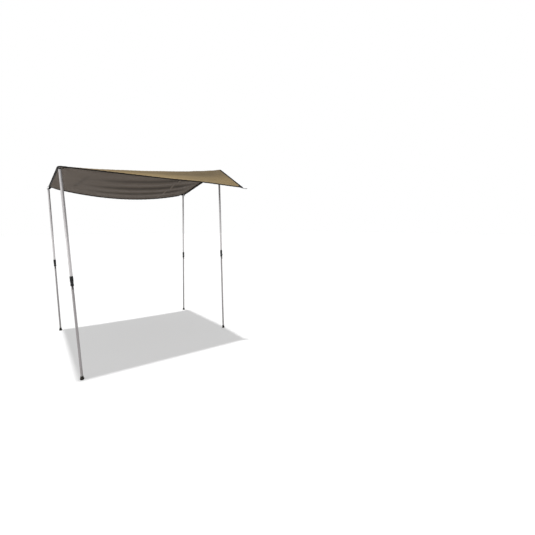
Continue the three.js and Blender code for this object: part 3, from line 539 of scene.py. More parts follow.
nylonLook = {
    "color": (0.004, 0.004, 0.0045, 1), "rubbed": (0.018, 0.018, 0.019, 1), "rub": 0.6, "rubSmooth": 0.12,
    "roughness": 0.5, "specular": 0.3, "grain": 1500.0, "smudgeSize": 45.0, "relief": 0.00012,
    "dustReach": 0.15, "dust": 0.15, "dustColor": (0.30, 0.26, 0.20, 1), "dustRough": 0.2,
}
rubberLook = {
    **nylonLook, "color": (0.007, 0.0068, 0.0065, 1), "rubbed": (0.016, 0.0155, 0.0145, 1), "roughness": 0.74,
    "specular": 0.14, "grain": 900.0, "smudgeSize": 60.0, "dust": 0.12, "relief": 0.0002,
}
zipNylonLook = {**nylonLook, "color": (0.004, 0.004, 0.004, 1), "roughness": 0.45, "grain": 2600.0}
nylon = mouldedMaterial("clamp_nylon", nylonLook)
rubber = mouldedMaterial("foot_rubber", rubberLook)
zipNylon = mouldedMaterial("zip_nylon", zipNylonLook)
darkThread = threadMaterial("thread_dark", (0.026, 0.022, 0.018, 1))
tanThread = threadMaterial("thread_tan", (0.24, 0.18, 0.10, 1))
print("materials made")

canopy = {
    "outerRear": (-1.981, 0.190, 2.101),
    "outerFront": (-1.913, 2.150, 2.122),
    "innerFront": (0.016, 1.917, 2.120),
    "peak": (0.012, 0.655, 2.367),
    "innerRear": (-0.040, 0.035, 2.054),
    "crestStep": 0.026,
    "crestSag": 0.030,
    "crestLean": 0.25,
    "frontSag": 0.122,
    "frontBow": 0.030,
    "bellyDepth": 0.028,
    "gableSagShare": 0.045,
    "gableSagFade": (0.8, 1.0),
    "foldHeight": 0.011,
    "foldCount": 4.5,
    "foldSlant": 0.35,
    "foldStart": 0.1,
    "foldRise": (0.12, 0.5),
    "foldFade": (0.8, 0.985),
    "rearLift": 0.010,
    "rearLiftAt": 0.77,
    "rearLiftSpread": 0.16,
    "seamAt": 0.745,
    "thickness": 0.0008,
    "columns": 200,
    "gableRows": 36,
    "mainRows": 140,
    "seed": 11,
    "crumple": 0.0008,
    "crumpleCount": 26,
    "crumpleSizes": (0.06, 0.34),
    "rays": 0.0030,
    "rayReach": 0.15,
    "rayCount": 15,
    "pucker": 0.0007,
    "puckerReach": 0.03,
    "puckerWaves": {"rear": 0.052, "front": 0.061, "side": 0.058, "crest": 0.047, "seam": 0.05},
    "crease": 0.0022,
    "creasePhase": 0.5,
    "creaseWidth": 0.07,
    "creaseShade": 0.13,
    "sideFold": ((-1.658, 0.611), (-1.702, 1.605)),
    "sideFoldWidth": 0.022,
    "sideFoldDepth": 0.0016,
    "streaks": 3.0,
    "streakSlant": 0.35,
    "streakWidth": 1.6,
    "streakRise": (0.15, 0.4),
    "streakFade": (0.75, 0.98),
    "width": 1.929,
    "middle": (-0.95, 1.0),
}
cornerNames = ("outerRear", "outerFront", "innerFront", "peak", "innerRear")


def outerX(y):
    # straight line through the free side's two corners
    a, b = canopy["outerRear"], canopy["outerFront"]
    return mix(a[0], b[0], (y - a[1]) / (b[1] - a[1]))


def innerX(y):
    # straight from the rear corner to the peak, and on to the front corner
    a, b, c = canopy["innerRear"], canopy["peak"], canopy["innerFront"]
    rear = mix(a[0], b[0], (y - a[1]) / (b[1] - a[1]))
    front = mix(b[0], c[0], (y - b[1]) / (c[1] - b[1]))
    return np.where(y < b[1], rear, front)


def rearLine(u):
    # y straight between the corners; z the same, plus a bump h exp(-((u - m) / w)^2) 4u(1 - u)
    a, b = canopy["outerRear"], canopy["innerRear"]
    bump = np.exp(-(((u - canopy["rearLiftAt"]) / canopy["rearLiftSpread"]) ** 2)) * arch(u)
    return mix(a[1], b[1], u), mix(a[2], b[2], u) + canopy["rearLift"] * bump


def crestLine(u):
    # from just ahead of the outer rear corner up to the peak, sagging by 4u(1 - u)(1 + lean (2u - 1))
    a, b = canopy["outerRear"], canopy["peak"]
    sag = canopy["crestSag"] * arch(u) * (1 + canopy["crestLean"] * (2 * u - 1))
    return mix(a[1] + canopy["crestStep"], b[1], u), mix(a[2], b[2], u) - sag


def frontLine(u):
    # from the outer front corner to the inner one, bowed inwards and sagging by 4u(1 - u)
    a, b = canopy["outerFront"], canopy["innerFront"]
    y = mix(a[1], b[1], u) - canopy["frontBow"] * arch(u)
    return y, mix(a[2], b[2], u) - canopy["frontSag"] * arch(u)


def shares(x, y):
    # u across from the free edge to the zip; t from 0 to 1 over the gable and on to 2 at the front
    u = (x - outerX(y)) / (innerX(y) - outerX(y))
    rear, crest, front = rearLine(u)[0], crestLine(u)[0], frontLine(u)[0]
    return u, np.where(y < crest, (y - rear) / (crest - rear), 1 + (y - crest) / (front - crest))


def planAt(u, t):
    # the place in plan that has those shares
    rear, crest, front = rearLine(u)[0], crestLine(u)[0], frontLine(u)[0]
    y = np.where(t < 1, mix(rear, crest, t), mix(crest, front, t - 1))
    return mix(outerX(y), innerX(y), u), y


def foldPhase(u, v):
    # whole turns of the long folds, and how far each place lies inside them
    inside = np.sin(np.pi * np.clip(v, 0, 1)) * smooth(*canopy["foldRise"], u)
    inside = inside * (1 - smooth(*canopy["foldFade"], u))
    return canopy["foldCount"] * v + canopy["foldSlant"] * u + canopy["foldStart"], inside


def clothForm(x, y):
    # gable: straight less a share of its width; main: straight less a belly, plus folds h sin(2 pi phase)
    u, t = shares(x, y)
    (rearY, rearZ), (crestY, crestZ), (_, frontZ) = rearLine(u), crestLine(u), frontLine(u)
    sag = canopy["gableSagShare"] * (crestY - rearY) * (1 - smooth(*canopy["gableSagFade"], u))
    gable = mix(rearZ, crestZ, t) - sag * arch(t)
    v = t - 1
    phase, inside = foldPhase(u, v)
    wave = canopy["foldHeight"] * np.sin(2 * np.pi * phase) * inside
    main = mix(crestZ, frontZ, v) - canopy["bellyDepth"] * arch(u) * arch(v) + wave
    return np.where(t < 1, gable, main)


waves = np.random.default_rng(canopy["seed"]).uniform(size=(canopy["crumpleCount"], 3))


def crumple(x, y):
    # the sum of length sin(2 pi (d / length + start)) over waves that each have a heading and a size
    total = np.zeros(np.shape(x))
    for heading, size, start in waves:
        length = mix(*canopy["crumpleSizes"], size)
        across = x * math.cos(heading * 2 * math.pi) + y * math.sin(heading * 2 * math.pi)
        total = total + length * np.sin(2 * np.pi * (across / length + start) + 0.9 * np.sin(x * 9 + y * 5))
    return total


def cornerRays(x, y):
    # tension rays at each corner: (r / s) exp(1 - r / s) sin(n a), r and a measured from the corner
    total = np.zeros(np.shape(x))
    for k, name in enumerate(cornerNames):
        cornerX, cornerY, _ = canopy[name]
        r = np.hypot(x - cornerX, y - cornerY) / canopy["rayReach"]
        a = np.arctan2(y - cornerY, x - cornerX)
        rays = np.sin(canopy["rayCount"] * a + 1.3 * k + 0.8 * np.sin(4 * a))
        total = total + r * np.exp(1 - r) * rays
    return total


def pucker(distance, along, wave):
    # stitching draws the cloth into short waves that die away beside the seam
    near = np.exp(-((distance / canopy["puckerReach"]) ** 2))
    return near * np.sin(2 * np.pi * along / wave + 1.9 * np.sin(along * 6.1))


def foldLines(x, y, width):
    # 1 on each fold's crease and on the free side's fold, falling by exp(-(d / w)^2)
    u, t = shares(x, y)
    phase, inside = foldPhase(u, t - 1)
    away = np.abs((phase % 1) - canopy["creasePhase"])
    creases = np.exp(-((away / width) ** 2)) * inside ** 0.5 * (t > 1)
    turn = (t * canopy["streaks"] + canopy["streakSlant"] * u) % 1 - 0.5
    streak = np.exp(-(turn / (canopy["streakWidth"] * width)) ** 2)
    streak = streak * (t < 1) * smooth(*canopy["streakRise"], u)
    creases = creases + streak * (1 - smooth(*canopy["streakFade"], u)) * arch(np.clip(t, 0, 1))
    a, b = (np.array(end) for end in canopy["sideFold"])
    run = ((x - a[0]) * (b - a)[0] + (y - a[1]) * (b - a)[1]) / ((b - a) @ (b - a))
    off = np.hypot(x - mix(a[0], b[0], run), y - mix(a[1], b[1], run))
    side = np.exp(-((off / canopy["sideFoldWidth"]) ** 2)) * smooth(0.0, 0.2, run)
    return creases, side * (1 - smooth(0.8, 1.0, run))


def clothHeight(x, y):
    # the form plus its small relief, which fades out at the zip, where the chain has to run straight
    u, t = shares(x, y)
    rear, crest, front = rearLine(u)[0], crestLine(u)[0], frontLine(u)[0]
    width = innerX(y) - outerX(y)
    free = 1 - smooth(0.955, 0.995, u)
    inside = smooth(0.0, 0.06, y - rear) * smooth(0.0, 0.06, front - y) * smooth(0.0, 0.04, u) * free
    crest = np.abs(y - crest)
    relief = canopy["crumple"] * crumple(x, y) * inside
    relief = relief + canopy["rays"] * cornerRays(x, y) * inside
    wave = canopy["puckerWaves"]
    seams = pucker(y - rear, x, wave["rear"]) + pucker(front - y, x, wave["front"])
    seams = seams + pucker(u * width, y, wave["side"]) + 0.8 * pucker(crest, x, wave["crest"])
    seams = seams + pucker((u - canopy["seamAt"]) * width, y, wave["seam"])
    relief = relief + canopy["pucker"] * seams * free * smooth(-0.002, 0.02, u)
    creases, side = foldLines(x, y, canopy["creaseWidth"])
    relief = relief - (canopy["crease"] * creases + canopy["sideFoldDepth"] * side) * inside
    return clothForm(x, y) + relief


def clothNormal(x, y, step=0.0015):
    # (-dz/dx, -dz/dy, 1), from heights a step to each side
    dx = (clothHeight(x + step, y) - clothHeight(x - step, y)) / (2 * step)
    dy = (clothHeight(x, y + step) - clothHeight(x, y - step)) / (2 * step)
    return unit(np.stack([-dx, -dy, np.ones_like(dx)], -1))


def onCloth(x, y, lift=0.0):
    # the cloth's point over a plan place, moved along its normal
    base = np.stack([x, y, clothHeight(x, y)], -1) + origin
    return base + clothNormal(x, y) * np.expand_dims(np.broadcast_to(lift, np.shape(x)), -1)


def lengths(points):
    # length run along a line of points, from 0 at its first
    steps = np.linalg.norm(np.diff(points, axis=0), axis=-1)
    return np.concatenate([[0], np.cumsum(steps)])


def evenly(line, pitch):
    # the line's points and directions at equal steps
    run = lengths(line)
    count = max(2, int(run[-1] / pitch))
    at = (np.arange(count) + 0.5) * run[-1] / count
    points = np.stack([np.interp(at, run, line[:, k]) for k in range(3)], -1)
    ahead = np.stack([np.interp(np.minimum(at + pitch / 4, run[-1]), run, line[:, k]) for k in range(3)], -1)
    behind = np.stack([np.interp(np.maximum(at - pitch / 4, 0), run, line[:, k]) for k in range(3)], -1)
    return points, unit(ahead - behind)


stitch = {
    "pitch": 0.0052, "length": 0.0036, "thick": 0.0009, "lift": 0.0002, "topLift": 0.0005,
    "crestLines": (0.006, 0.014), "seamLines": (-0.005, 0.005), "zipLines": (-0.011, -0.0035),
}
ringX = np.array([1, 0, -1, 0]) * 0.5
ringZ = np.array([0, 1, 0, -1]) * 0.5
stitchShape = np.concatenate([
    [[0, -0.5, 0]],
    np.stack([ringX, np.full(4, -0.34), ringZ], -1),
    np.stack([ringX, np.full(4, 0.34), ringZ], -1),
    [[0, 0.5, 0]],
]) * [stitch["thick"], stitch["length"], stitch["thick"]]
turn = np.arange(4)
after = (turn + 1) % 4
stitchFaces = [
    np.stack([0 * turn, 1 + after, 1 + turn], -1),
    np.stack([1 + turn, 1 + after, 5 + after, 5 + turn], -1),
    np.stack([9 + 0 * turn, 5 + turn, 5 + after], -1),
]


def stitches(x, y, lift, finish=0):
    # thread bars along a line in plan, that far above or below the cloth
    points, along = evenly(onCloth(x, y, lift), stitch["pitch"])
    up = clothNormal(points[:, 0] - origin[0], points[:, 1] - origin[1])
    return scatter(stitchShape, stitchFaces, points, along, up, finish)


u = np.linspace(0, 1, canopy["columns"] + 1)
t = np.concatenate([
    np.linspace(0, 1, canopy["gableRows"] + 1), np.linspace(1, 2, canopy["mainRows"] + 1)[1:]
])
gridU, gridT = np.meshgrid(u, t, indexing="ij")
clothX, clothY = planAt(gridU, gridT)
half = canopy["thickness"] / 2
middle = onCloth(clothX, clothY)
runAlong = np.concatenate([
    np.zeros((len(u), 1)), np.cumsum(np.linalg.norm(np.diff(middle, axis=1), axis=-1), axis=1)
], 1)
clothUv = np.stack([clothX, runAlong], -1)
clothParts = slab(onCloth(clothX, clothY, half), onCloth(clothX, clothY, -half), clothUv, (0, 1))
clothNodes = ("main_panel", "gable_panel")
canopyCloth = addPiece(
    "canopy_cloth", clothParts, [clothTop, clothUnder], "canopy", clothNodes, angle=60
)
vertices = canopyCloth.data.vertices
spots = np.empty(len(vertices) * 3)
vertices.foreach_get("co", spots)
spots = spots.reshape(-1, 3) - origin
spotU, spotT = shares(spots[:, 0], spots[:, 1])
# painted shade in the creases: the long folds' creases, the gable's long creases and the free side's fold, as
# masks that darken the cloth's colour
creases, side = foldLines(spots[:, 0], spots[:, 1], canopy["creaseShade"])
# painted shade: the gable darker towards the crest
paintedCrestShade = smooth(0.3, 0.85, spotT) * (1 - smooth(1.0, 1.04, spotT))
# painted shade: the cloth darker towards the zip side
paintedZipSideShade = smooth(0.1, 0.9, spotU)
# the three masks of painted shade go into one attribute of the cloth's points
paintedShade = canopyCloth.data.attributes.new("paintedShade", "FLOAT_VECTOR", "POINT")
paintedShades = [np.clip(creases + side * 0.5, 0, 1), paintedCrestShade, paintedZipSideShade]
paintedShade.data.foreach_set("vector", np.stack(paintedShades, -1).ravel())

hem = {
    "over": 0.008, "thickness": 0.0009, "gap": 0.0003, "arcSteps": 9, "zipSide": 0.014, "beadReach": 0.0085,
    "stitchInset": 0.0088, "stitchEdge": 0.0025, "topStitch": 0.0072,
    "front_hem": {"under": 0.025, "bead": 0.0050, "drop": 0.0120, "fade": (0.040, 0.085)},
    "rear_hem": {"under": 0.025, "bead": 0.0062, "drop": 0.0062, "fade": (0.0, 0.025)},
    "outer_hem": {"under": 0.015, "bead": 0.0045, "drop": 0.0060, "fade": (0.0, 0.025)},
}


def hemProfile(edge):
    # (inwards, lift) round a strip folded over the edge, and how far its roll there swells out and hangs down
    inner = half + hem["gap"]
    outer = inner + hem["thickness"]
    a = np.radians(np.linspace(-90, 90, hem["arcSteps"]))
    arc = np.stack([-np.cos(a), np.sin(a)], -1)
    under = np.linspace(edge["under"], 0.0, 12)[:-1]
    over = np.linspace(0.0, hem["over"], 6)[1:]
    outside = np.concatenate([
        np.stack([under, np.full(11, -outer)], -1), arc * outer, np.stack([over, np.full(5, outer)], -1),
    ])
    inside = np.concatenate([
        np.stack([over[::-1], np.full(5, inner)], -1),
        arc[::-1] * inner,
        np.stack([under[::-1], np.full(11, -inner)], -1),
    ])
    near = 1 - smooth(0.0, hem["beadReach"], outside[:, 0])
    swell = near[:, None] * np.where(outside[:, :1] > 0, [[0, 1]], np.abs(outside) / outer) * np.sign(outside)
    depth = np.where(outside[:, 1] < 0, edge["drop"], edge["bead"]) - outer
    swell = swell * np.stack([np.full_like(depth, edge["bead"] - outer), depth], -1)
    return np.concatenate([outside, inside]), np.concatenate([swell, 0 * inside])


def hemStrip(x, y, inX, inY, made):
    # the profile carried along the edge: p = surface at edge + inwards a, or past the edge along its slope
    flatLine, swell = hemProfile(made)
    edge = onCloth(x, y)
    run = lengths(edge)
    start, full = made["fade"]
    fade = smooth(start, full, run) * (1 - smooth(run[-1] - full, run[-1] - start, run))
    profile = flatLine[None] + swell[None] * fade[:, None, None]
    a = np.maximum(profile[..., 0], 0)
    points = onCloth(x[:, None] + inX[:, None] * a, y[:, None] + inY[:, None] * a, profile[..., 1])
    outwards = unit(edge - onCloth(x + inX * 0.001, y + inY * 0.001))
    points = points + outwards[:, None] * np.maximum(-profile[..., 0], 0)[..., None]
    loop = np.concatenate([flatLine, flatLine[:1]])
    around = lengths(np.concatenate([loop, np.zeros((len(loop), 1))], -1))
    uv = np.stack(np.meshgrid(run, around, indexing="ij"), -1)
    return grid(points, wrapColumns=True, uv=uv, caps=True)


def inwardFrom(x, y, towardX, towardY):
    # the direction across the line in plan, on the side of the given point
    tangent = unit(np.stack([np.gradient(x), np.gradient(y)], -1))
    across = np.stack([-tangent[:, 1], tangent[:, 0]], -1)
    side = np.sign(np.sum(across * np.stack([towardX - x, towardY - y], -1), -1, keepdims=True))
    return across * side


def hemEdge(u, t):
    # places along an edge at shares u, t, and the way inwards at each
    x, y = planAt(u, t)
    across = inwardFrom(x, y, *canopy["middle"])
    return x, y, across[:, 0], across[:, 1]


zipShare = hem["zipSide"] / canopy["width"]
along = np.linspace(0, 1 - zipShare, 230)
frontEdge = hemEdge(along, np.full_like(along, 2.0))
rearEdge = hemEdge(along, np.zeros_like(along))
outerTs = np.linspace(1 + 0.002, 2 - 0.0145, 210)
outerEdge = hemEdge(np.zeros_like(outerTs), outerTs)
hemEdges = {"front_hem": frontEdge, "rear_hem": rearEdge, "outer_hem": outerEdge}
threads = []
underLift = -(half + hem["gap"] + hem["thickness"] + stitch["lift"])
overLift = half + hem["gap"] + hem["thickness"] + stitch["lift"]
for name, (x, y, inX, inY) in hemEdges.items():
    strip = hemStrip(x, y, inX, inY, hem[name])
    addPiece(f"{name}_binding", [strip], [binding], "canopy", (name,))
    trim = slice(2, -2)
    for inset in (hem["stitchInset"], hem[name]["under"] - hem["stitchEdge"]):
        threads.append(stitches((x + inX * inset)[trim], (y + inY * inset)[trim], underLift))
    inset = hem["topStitch"]
    threads.append(stitches((x + inX * inset)[trim], (y + inY * inset)[trim], overLift))
print("hems bound")

tape = {"ridge": 0.026, "cross": 0.030, "thickness": 0.0006, "gap": 0.0003}
tapeTop = -(half + tape["gap"])
tapeBottom = tapeTop - tape["thickness"]


def tapeStrip(x, y):
    # a thin strip under the cloth over a grid of plan places
    top = onCloth(x, y, tapeTop)
    bottom = onCloth(x, y, tapeBottom)
    run = lengths(top[:, 0])[:, None] + 0 * x
    wide = np.linspace(0, 1, x.shape[1])[None] * np.linalg.norm(top[0, -1] - top[0, 0]) + 0 * x
    return slab(top, bottom, np.stack([run, wide], -1))


patch = {
    "reach": 0.120, "tip": 0.010, "inset": 0.030, "rays": 34, "steps": 16, "thickness": 0.0005, "gap": 0.0003,
    "stitchInset": 0.004,
}
patchShare = (patch["inset"] + patch["reach"] + 0.001) / canopy["width"]
ridgeU = np.linspace(patchShare, 1 - patchShare, 190)[:, None]
ridgeY = crestLine(ridgeU)[0] + np.linspace(-0.5, 0.5, 9)[None] * tape["ridge"]
ridgeX = mix(outerX(ridgeY), innerX(ridgeY), ridgeU)
crossT = np.linspace(1.012, 1.982, 160)[:, None]
crossU = canopy["seamAt"] + np.linspace(-0.5, 0.5, 7)[None] * tape["cross"] / canopy["width"]
crossX, crossY = planAt(crossU + 0 * crossT, crossT + 0 * crossU)
ridgeStrip = tapeStrip(ridgeX, ridgeY)
crossStrip = tapeStrip(crossX, crossY)
tapePieces = [
    addPiece("ridge_tape_strip", ridgeStrip, [binding], "canopy", ("ridge_tape",)),
    addPiece("cross_seam_strip", crossStrip, [seamTape], "canopy", ("cross_seam_tape",)),
]
for column in (1, -2):
    threads.append(stitches(ridgeX[:, column], ridgeY[:, column], tapeBottom - stitch["lift"]))
    threads.append(stitches(crossX[:, column], crossY[:, column], tapeBottom - stitch["lift"]))
topThreads = []
seamU = np.linspace(0.012, 0.988, 400)
for offset in stitch["crestLines"]:
    y = crestLine(seamU)[0] + offset
    topThreads.append(stitches(mix(outerX(y), innerX(y), seamU), y, half + stitch["topLift"]))
seamT = np.linspace(1.01, 1.985, 300)
for offset in stitch["seamLines"]:
    x, y = planAt(np.full_like(seamT, canopy["seamAt"] + offset / canopy["width"]), seamT)
    topThreads.append(stitches(x, y, half + stitch["topLift"]))


def heading(fromPlan, toPlan):
    # the unit vector in plan from one place to another
    return unit(np.array(toPlan, float) - np.array(fromPlan, float))


def planPoint(u, t):
    # one place in plan, from its two shares
    x, y = planAt(np.array(u, float), np.array(t, float))
    return np.array([float(x), float(y)])


corners = {name: np.array(canopy[name][:2]) for name in cornerNames}
crestStart = planPoint(0, 1)
crestIn = heading(crestStart, planPoint(0.06, 1))
crestOut = heading(planPoint(1, 1), planPoint(0.94, 1))
zipForward = heading(corners["peak"], corners["innerFront"])
zipBack = heading(corners["peak"], corners["innerRear"])
outerForward = heading(corners["outerRear"], corners["outerFront"])
frontIn = heading(corners["outerFront"], planPoint(0.06, 2))
frontBack = heading(corners["innerFront"], planPoint(0.94, 2))
rearIn = heading(corners["outerRear"], planPoint(0.06, 0))
rearBack = heading(corners["innerRear"], planPoint(0.94, 0))
inset = patch["inset"]
patches = {
    "outer_rear": (crestStart + crestIn * inset, rearIn, outerForward),
    "outer_front": (corners["outerFront"] + (frontIn - outerForward) * inset, -outerForward, frontIn),
    "inner_front": (corners["innerFront"] + (frontBack - zipForward) * inset, frontBack, -zipForward),
    "peak": (corners["peak"] + crestOut * inset, zipForward, zipBack),
    "inner_rear": (corners["innerRear"] + (rearBack - zipBack) * inset, -zipBack, rearBack),
}
for name, (centre, first, last) in patches.items():
    start = math.atan2(first[1], first[0])
    sweep = (math.atan2(last[1], last[0]) - start + math.pi) % (2 * math.pi) - math.pi
    a = (start + np.linspace(0, 1, patch["rays"]) * sweep)[:, None]
    r = np.linspace(patch["tip"], patch["reach"], patch["steps"])[None]
    x = centre[0] + np.cos(a) * r
    y = centre[1] + np.sin(a) * r
    top = -(half + patch["gap"])
    parts = slab(onCloth(x, y, top), onCloth(x, y, top - patch["thickness"]), np.stack([x, y], -1))
    piece = addPiece(f"{name}_patch_cloth", parts, [seamTape], "canopy", (f"{name}_patch",))
    a = a[1:-1, 0]
    reach = patch["reach"] - patch["stitchInset"]
    line = (centre[0] + np.cos(a) * reach, centre[1] + np.sin(a) * reach)
    threads.append(stitches(*line, top - patch["thickness"] - stitch["lift"]))
    topThreads.append(stitches(*line, half + stitch["topLift"]))
print("tapes and patches made")

tab = {
    "width": 0.038, "thickness": 0.002, "end": 0.017, "flat": 0.015, "ramp": 0.020, "lap": 0.040,
    "drop": 0.018, "frontDrop": 0.036, "frontOut": 0.007, "hole": 0.0075, "cut": 0.004, "lapDrop": 0.0051,
    "strapPoint": (0.0, 0.0, 2.036), "strapLap": 0.045, "topLift": 0.0024,
    "braces": {"outer_front": (0.6, -0.8), "inner_front": (-0.6, -0.8)},
    "braceStart": 0.0135, "braceRamp": 0.034, "braceLap": 0.072, "braceLift": 0.0022,
}
alongX = np.array([1.0, 0.0])
frontSide = np.array([0, -tab["width"] / 2 - 0.001])
strapIn = heading(tab["strapPoint"][:2], corners["innerRear"])
strapReach = float(np.hypot(*corners["innerRear"]))
lapStations = (tab["flat"] + tab["ramp"], tab["flat"] + tab["ramp"] + tab["lap"])
outerFrontEye = corners["outerFront"] - alongX * tab["frontOut"] + frontSide
innerFrontEye = corners["innerFront"] - alongX * tab["end"] + frontSide
tabs = {
    "outer_rear": (crestStart + crestIn * tab["end"], crestIn, tab["drop"], lapStations),
    "outer_front": (outerFrontEye, alongX, tab["frontDrop"], lapStations),
    "inner_front": (innerFrontEye, -alongX, tab["drop"], lapStations),
    "peak": (corners["peak"] + crestOut * tab["end"], crestOut, tab["drop"], lapStations),
    "rear_strap": (np.zeros(2), strapIn, None, (strapReach - 0.001, strapReach + tab["strapLap"])),
}


def tabSurface(along, across, centre, inwards, plane, stations):
    # level round the eyelet, then z = mix(level, cloth - drop) by a smooth step up to the lap under the cloth
    side = np.array([-inwards[1], inwards[0]])
    x = centre[0] + inwards[0] * along + side[0] * across
    y = centre[1] + inwards[1] * along + side[1] * across
    level = plane * np.ones_like(x)
    lap = clothForm(x, y) - tab["lapDrop"]
    z = mix(level, lap, smooth(tab["flat"] - 0.001, stations[0] + 0.002, along))
    return np.stack([x, y, z], -1) + origin


def topLapParts(centre, inwards, plane, stations):
    # a second layer over the cloth's corner: z = strap + mix(layer, lap drop + lift) by a smooth step
    w = tab["width"] / 2 - 0.001
    along = np.linspace(stations[0] - 0.028, stations[1] - 0.003, 30)[:, None]
    wide = np.linspace(-w, w, 13)[None]
    points = tabSurface(along + 0 * wide, wide + 0 * along, centre, inwards, plane, stations)
    rise = smooth(stations[0] - 0.016, stations[0] + 0.002, along)
    points[..., 2] += mix(tab["thickness"] + 0.0002, tab["lapDrop"] + tab["topLift"], rise)
    return grid(points, uv=np.stack([along + 0 * wide, wide + 0 * along], -1))


def tabParts(centre, inwards, plane, stations):
    # a pad of rays from the hole to the outline, and a strip from its inner side to the lap's end
    w = tab["width"] / 2
    outline = [[tab["flat"], v] for v in np.linspace(-w, w, 13)[:-1]]
    outline += [[v, w] for v in np.linspace(tab["flat"], -tab["end"] + tab["cut"], 9)[:-1]]
    outline += [[-tab["end"] + tab["cut"], w], [-tab["end"], w - tab["cut"]]]
    outline += [[-tab["end"], v] for v in np.linspace(w - tab["cut"], -w + tab["cut"], 10)[1:-1]]
    outline += [[-tab["end"], -w + tab["cut"]], [-tab["end"] + tab["cut"], -w]]
    outline += [[v, -w] for v in np.linspace(-tab["end"] + tab["cut"], tab["flat"], 9)[1:-1]]
    rim = np.array(outline)
    hole = unit(rim) * tab["hole"]
    pad = mix(hole[:, None], rim[:, None], np.linspace(0, 1, 8)[None, :, None])
    run = np.linspace(tab["flat"], stations[1], 34)[:, None]
    wide = np.linspace(-w, w, 13)[None]
    strip = np.stack([run + 0 * wide, wide + 0 * run], -1)
    padUv = np.concatenate([pad, pad[:1]])
    place = (centre, inwards, plane, stations)
    padPart = grid(tabSurface(pad[..., 0], pad[..., 1], *place), wrapRows=True, uv=padUv)
    return [padPart, grid(tabSurface(strip[..., 0], strip[..., 1], *place), uv=strip)]


def braceParts(centre, away, plane):
    # a second strip from the pad's edge, slantwise up to the cloth: the tab's surface with another heading
    w = tab["width"] / 2 - 0.0025
    along = np.linspace(tab["braceStart"], tab["braceLap"], 36)[:, None]
    wide = np.linspace(-w, w, 11)[None]
    places = (along + 0 * wide, wide + 0 * along)
    points = tabSurface(*places, centre, np.array(away), plane, (tab["braceRamp"], tab["braceLap"]))
    points[..., 2] += tab["braceLift"]
    return grid(points, uv=np.stack(places, -1))


def boxStitch(centre, inwards, stations):
    # a square with its two diagonals, in shares of the lap, as lines in plan
    low, high, w = stations[0] + 0.006, stations[1] - 0.005, tab["width"] / 2 - 0.005
    turns = [(low, -w), (high, -w), (high, w), (low, w), (low, -w), (high, w), (low, w), (high, -w)]
    side = np.array([-inwards[1], inwards[0]])
    lines = []
    for a, b in zip(turns[:-1], turns[1:]):
        run = mix(np.array(a)[None], np.array(b)[None], np.linspace(0, 1, 14)[:, None])
        place = centre + run[:, :1] * inwards + run[:, 1:] * side
        lines.append((place[:, 0], place[:, 1]))
    return lines


eyelet = {"bore": 0.0055, "rim": 0.012, "barrel": 0.0072, "seat": 0.0013, "thickness": 0.0012}


def eyeletParts(at):
    # a barrel with a rolled lip and a washer at each end, turned round z
    seat = eyelet["seat"]
    high = seat + eyelet["thickness"]
    upper = [
        (eyelet["bore"], 0), (eyelet["bore"], high - 0.0004), (0.0059, high), (0.0067, high + 0.0001),
        (0.0075, high - 0.0002), (0.0082, high - 0.0004), (0.0112, high - 0.0005),
        (eyelet["rim"], high - 0.0008), (eyelet["rim"], seat), (eyelet["barrel"], seat),
    ]
    profile = upper + [(r, -z) for r, z in upper[:0:-1]]
    return [placed(revolve(rounded(profile, 0.0003, 2), 40), at, np.eye(3))]


def cornerFoldParts(centre, inwards, plane):
    # a strip from the top of the cloth's corner, over its edge and down to the pad: straight runs between
    # seven places, smoothed six times by (a + 2b + c) / 4
    w = tab["width"] / 2 - 0.0015
    reach = np.array([0.034, 0.020, 0.006, -0.003, -0.0125, -tab["end"] + 0.001, -tab["end"] + 0.0015])
    x = centre[0] + inwards[0] * reach
    cloth = float(clothForm(centre[0] + inwards[0] * 0.012, centre[1]))
    high = np.array([clothForm(centre[0] + inwards[0] * r, centre[1]) for r in reach[:2]]) + tab["topLift"]
    low = [cloth + 0.0066, cloth + 0.0030, mix(cloth, plane, 0.45), plane + 0.008, plane + 0.001]
    z = np.concatenate([high, low])
    share = np.linspace(0, 1, len(x))
    fine = np.linspace(0, 1, 40)
    line = np.stack([np.interp(fine, share, x), np.interp(fine, share, z)], -1)
    for _ in range(6):
        line[1:-1] = (line[:-2] + 2 * line[1:-1] + line[2:]) / 4
    wide = np.linspace(-w, w, 11)[None]
    run = lengths(line)[:, None] + 0 * wide
    across = centre[1] + wide * inwards[0] + 0 * line[:, :1]
    points = np.stack([line[:, :1] + 0 * wide, across, line[:, 1:] + 0 * wide], -1)
    return grid(points + origin, uv=np.stack([run, wide + 0 * run], -1))


webThreads = []
for name, (centre, inwards, drop, stations) in tabs.items():
    if drop is None:
        plane = tab["strapPoint"][2]
        pieceName, nodes = "rear_strap_webbing", ("rear_strap", "rear_strap_eyelet")
    else:
        plane = float(clothForm(centre[0], centre[1])) - drop
        pieceName, nodes = f"{name}_tab_webbing", (f"{name}_tab", f"{name}_eyelet")
    parts = tabParts(centre, inwards, plane, stations)
    if drop is None:
        parts.append(topLapParts(centre, inwards, plane, stations))
    if name == "outer_front":
        parts.append(cornerFoldParts(centre, inwards, plane))
    if name in tab["braces"]:
        parts.append(braceParts(centre, tab["braces"][name], plane))
    piece = addPiece(pieceName, parts, [webbing], "canopy", nodes[:1], wall=tab["thickness"])
    at = np.array([centre[0], centre[1], plane]) + origin
    addPiece(f"{name}_eyelet_ring", eyeletParts(at), [eyeletMetal], "canopy", nodes[1:])
    above = tab["topLift"] + tab["thickness"] / 2 if drop is None else half
    for x, y in boxStitch(centre, inwards, stations):
        webThreads.append(stitches(x, y, -(tab["lapDrop"] + tab["thickness"] / 2 + stitch["lift"])))
        (webThreads if drop is None else topThreads).append(stitches(x, y, above + stitch["topLift"]))
threadPieces = [
    addPiece("hem_stitching", threads, [darkThread], "canopy", weld=False),
    addPiece("webbing_stitching", webThreads, [darkThread], "canopy", weld=False),
    addPiece("top_stitching", topThreads, [tanThread], "canopy", weld=False),
]
print("webbing, eyelets and stitching made")

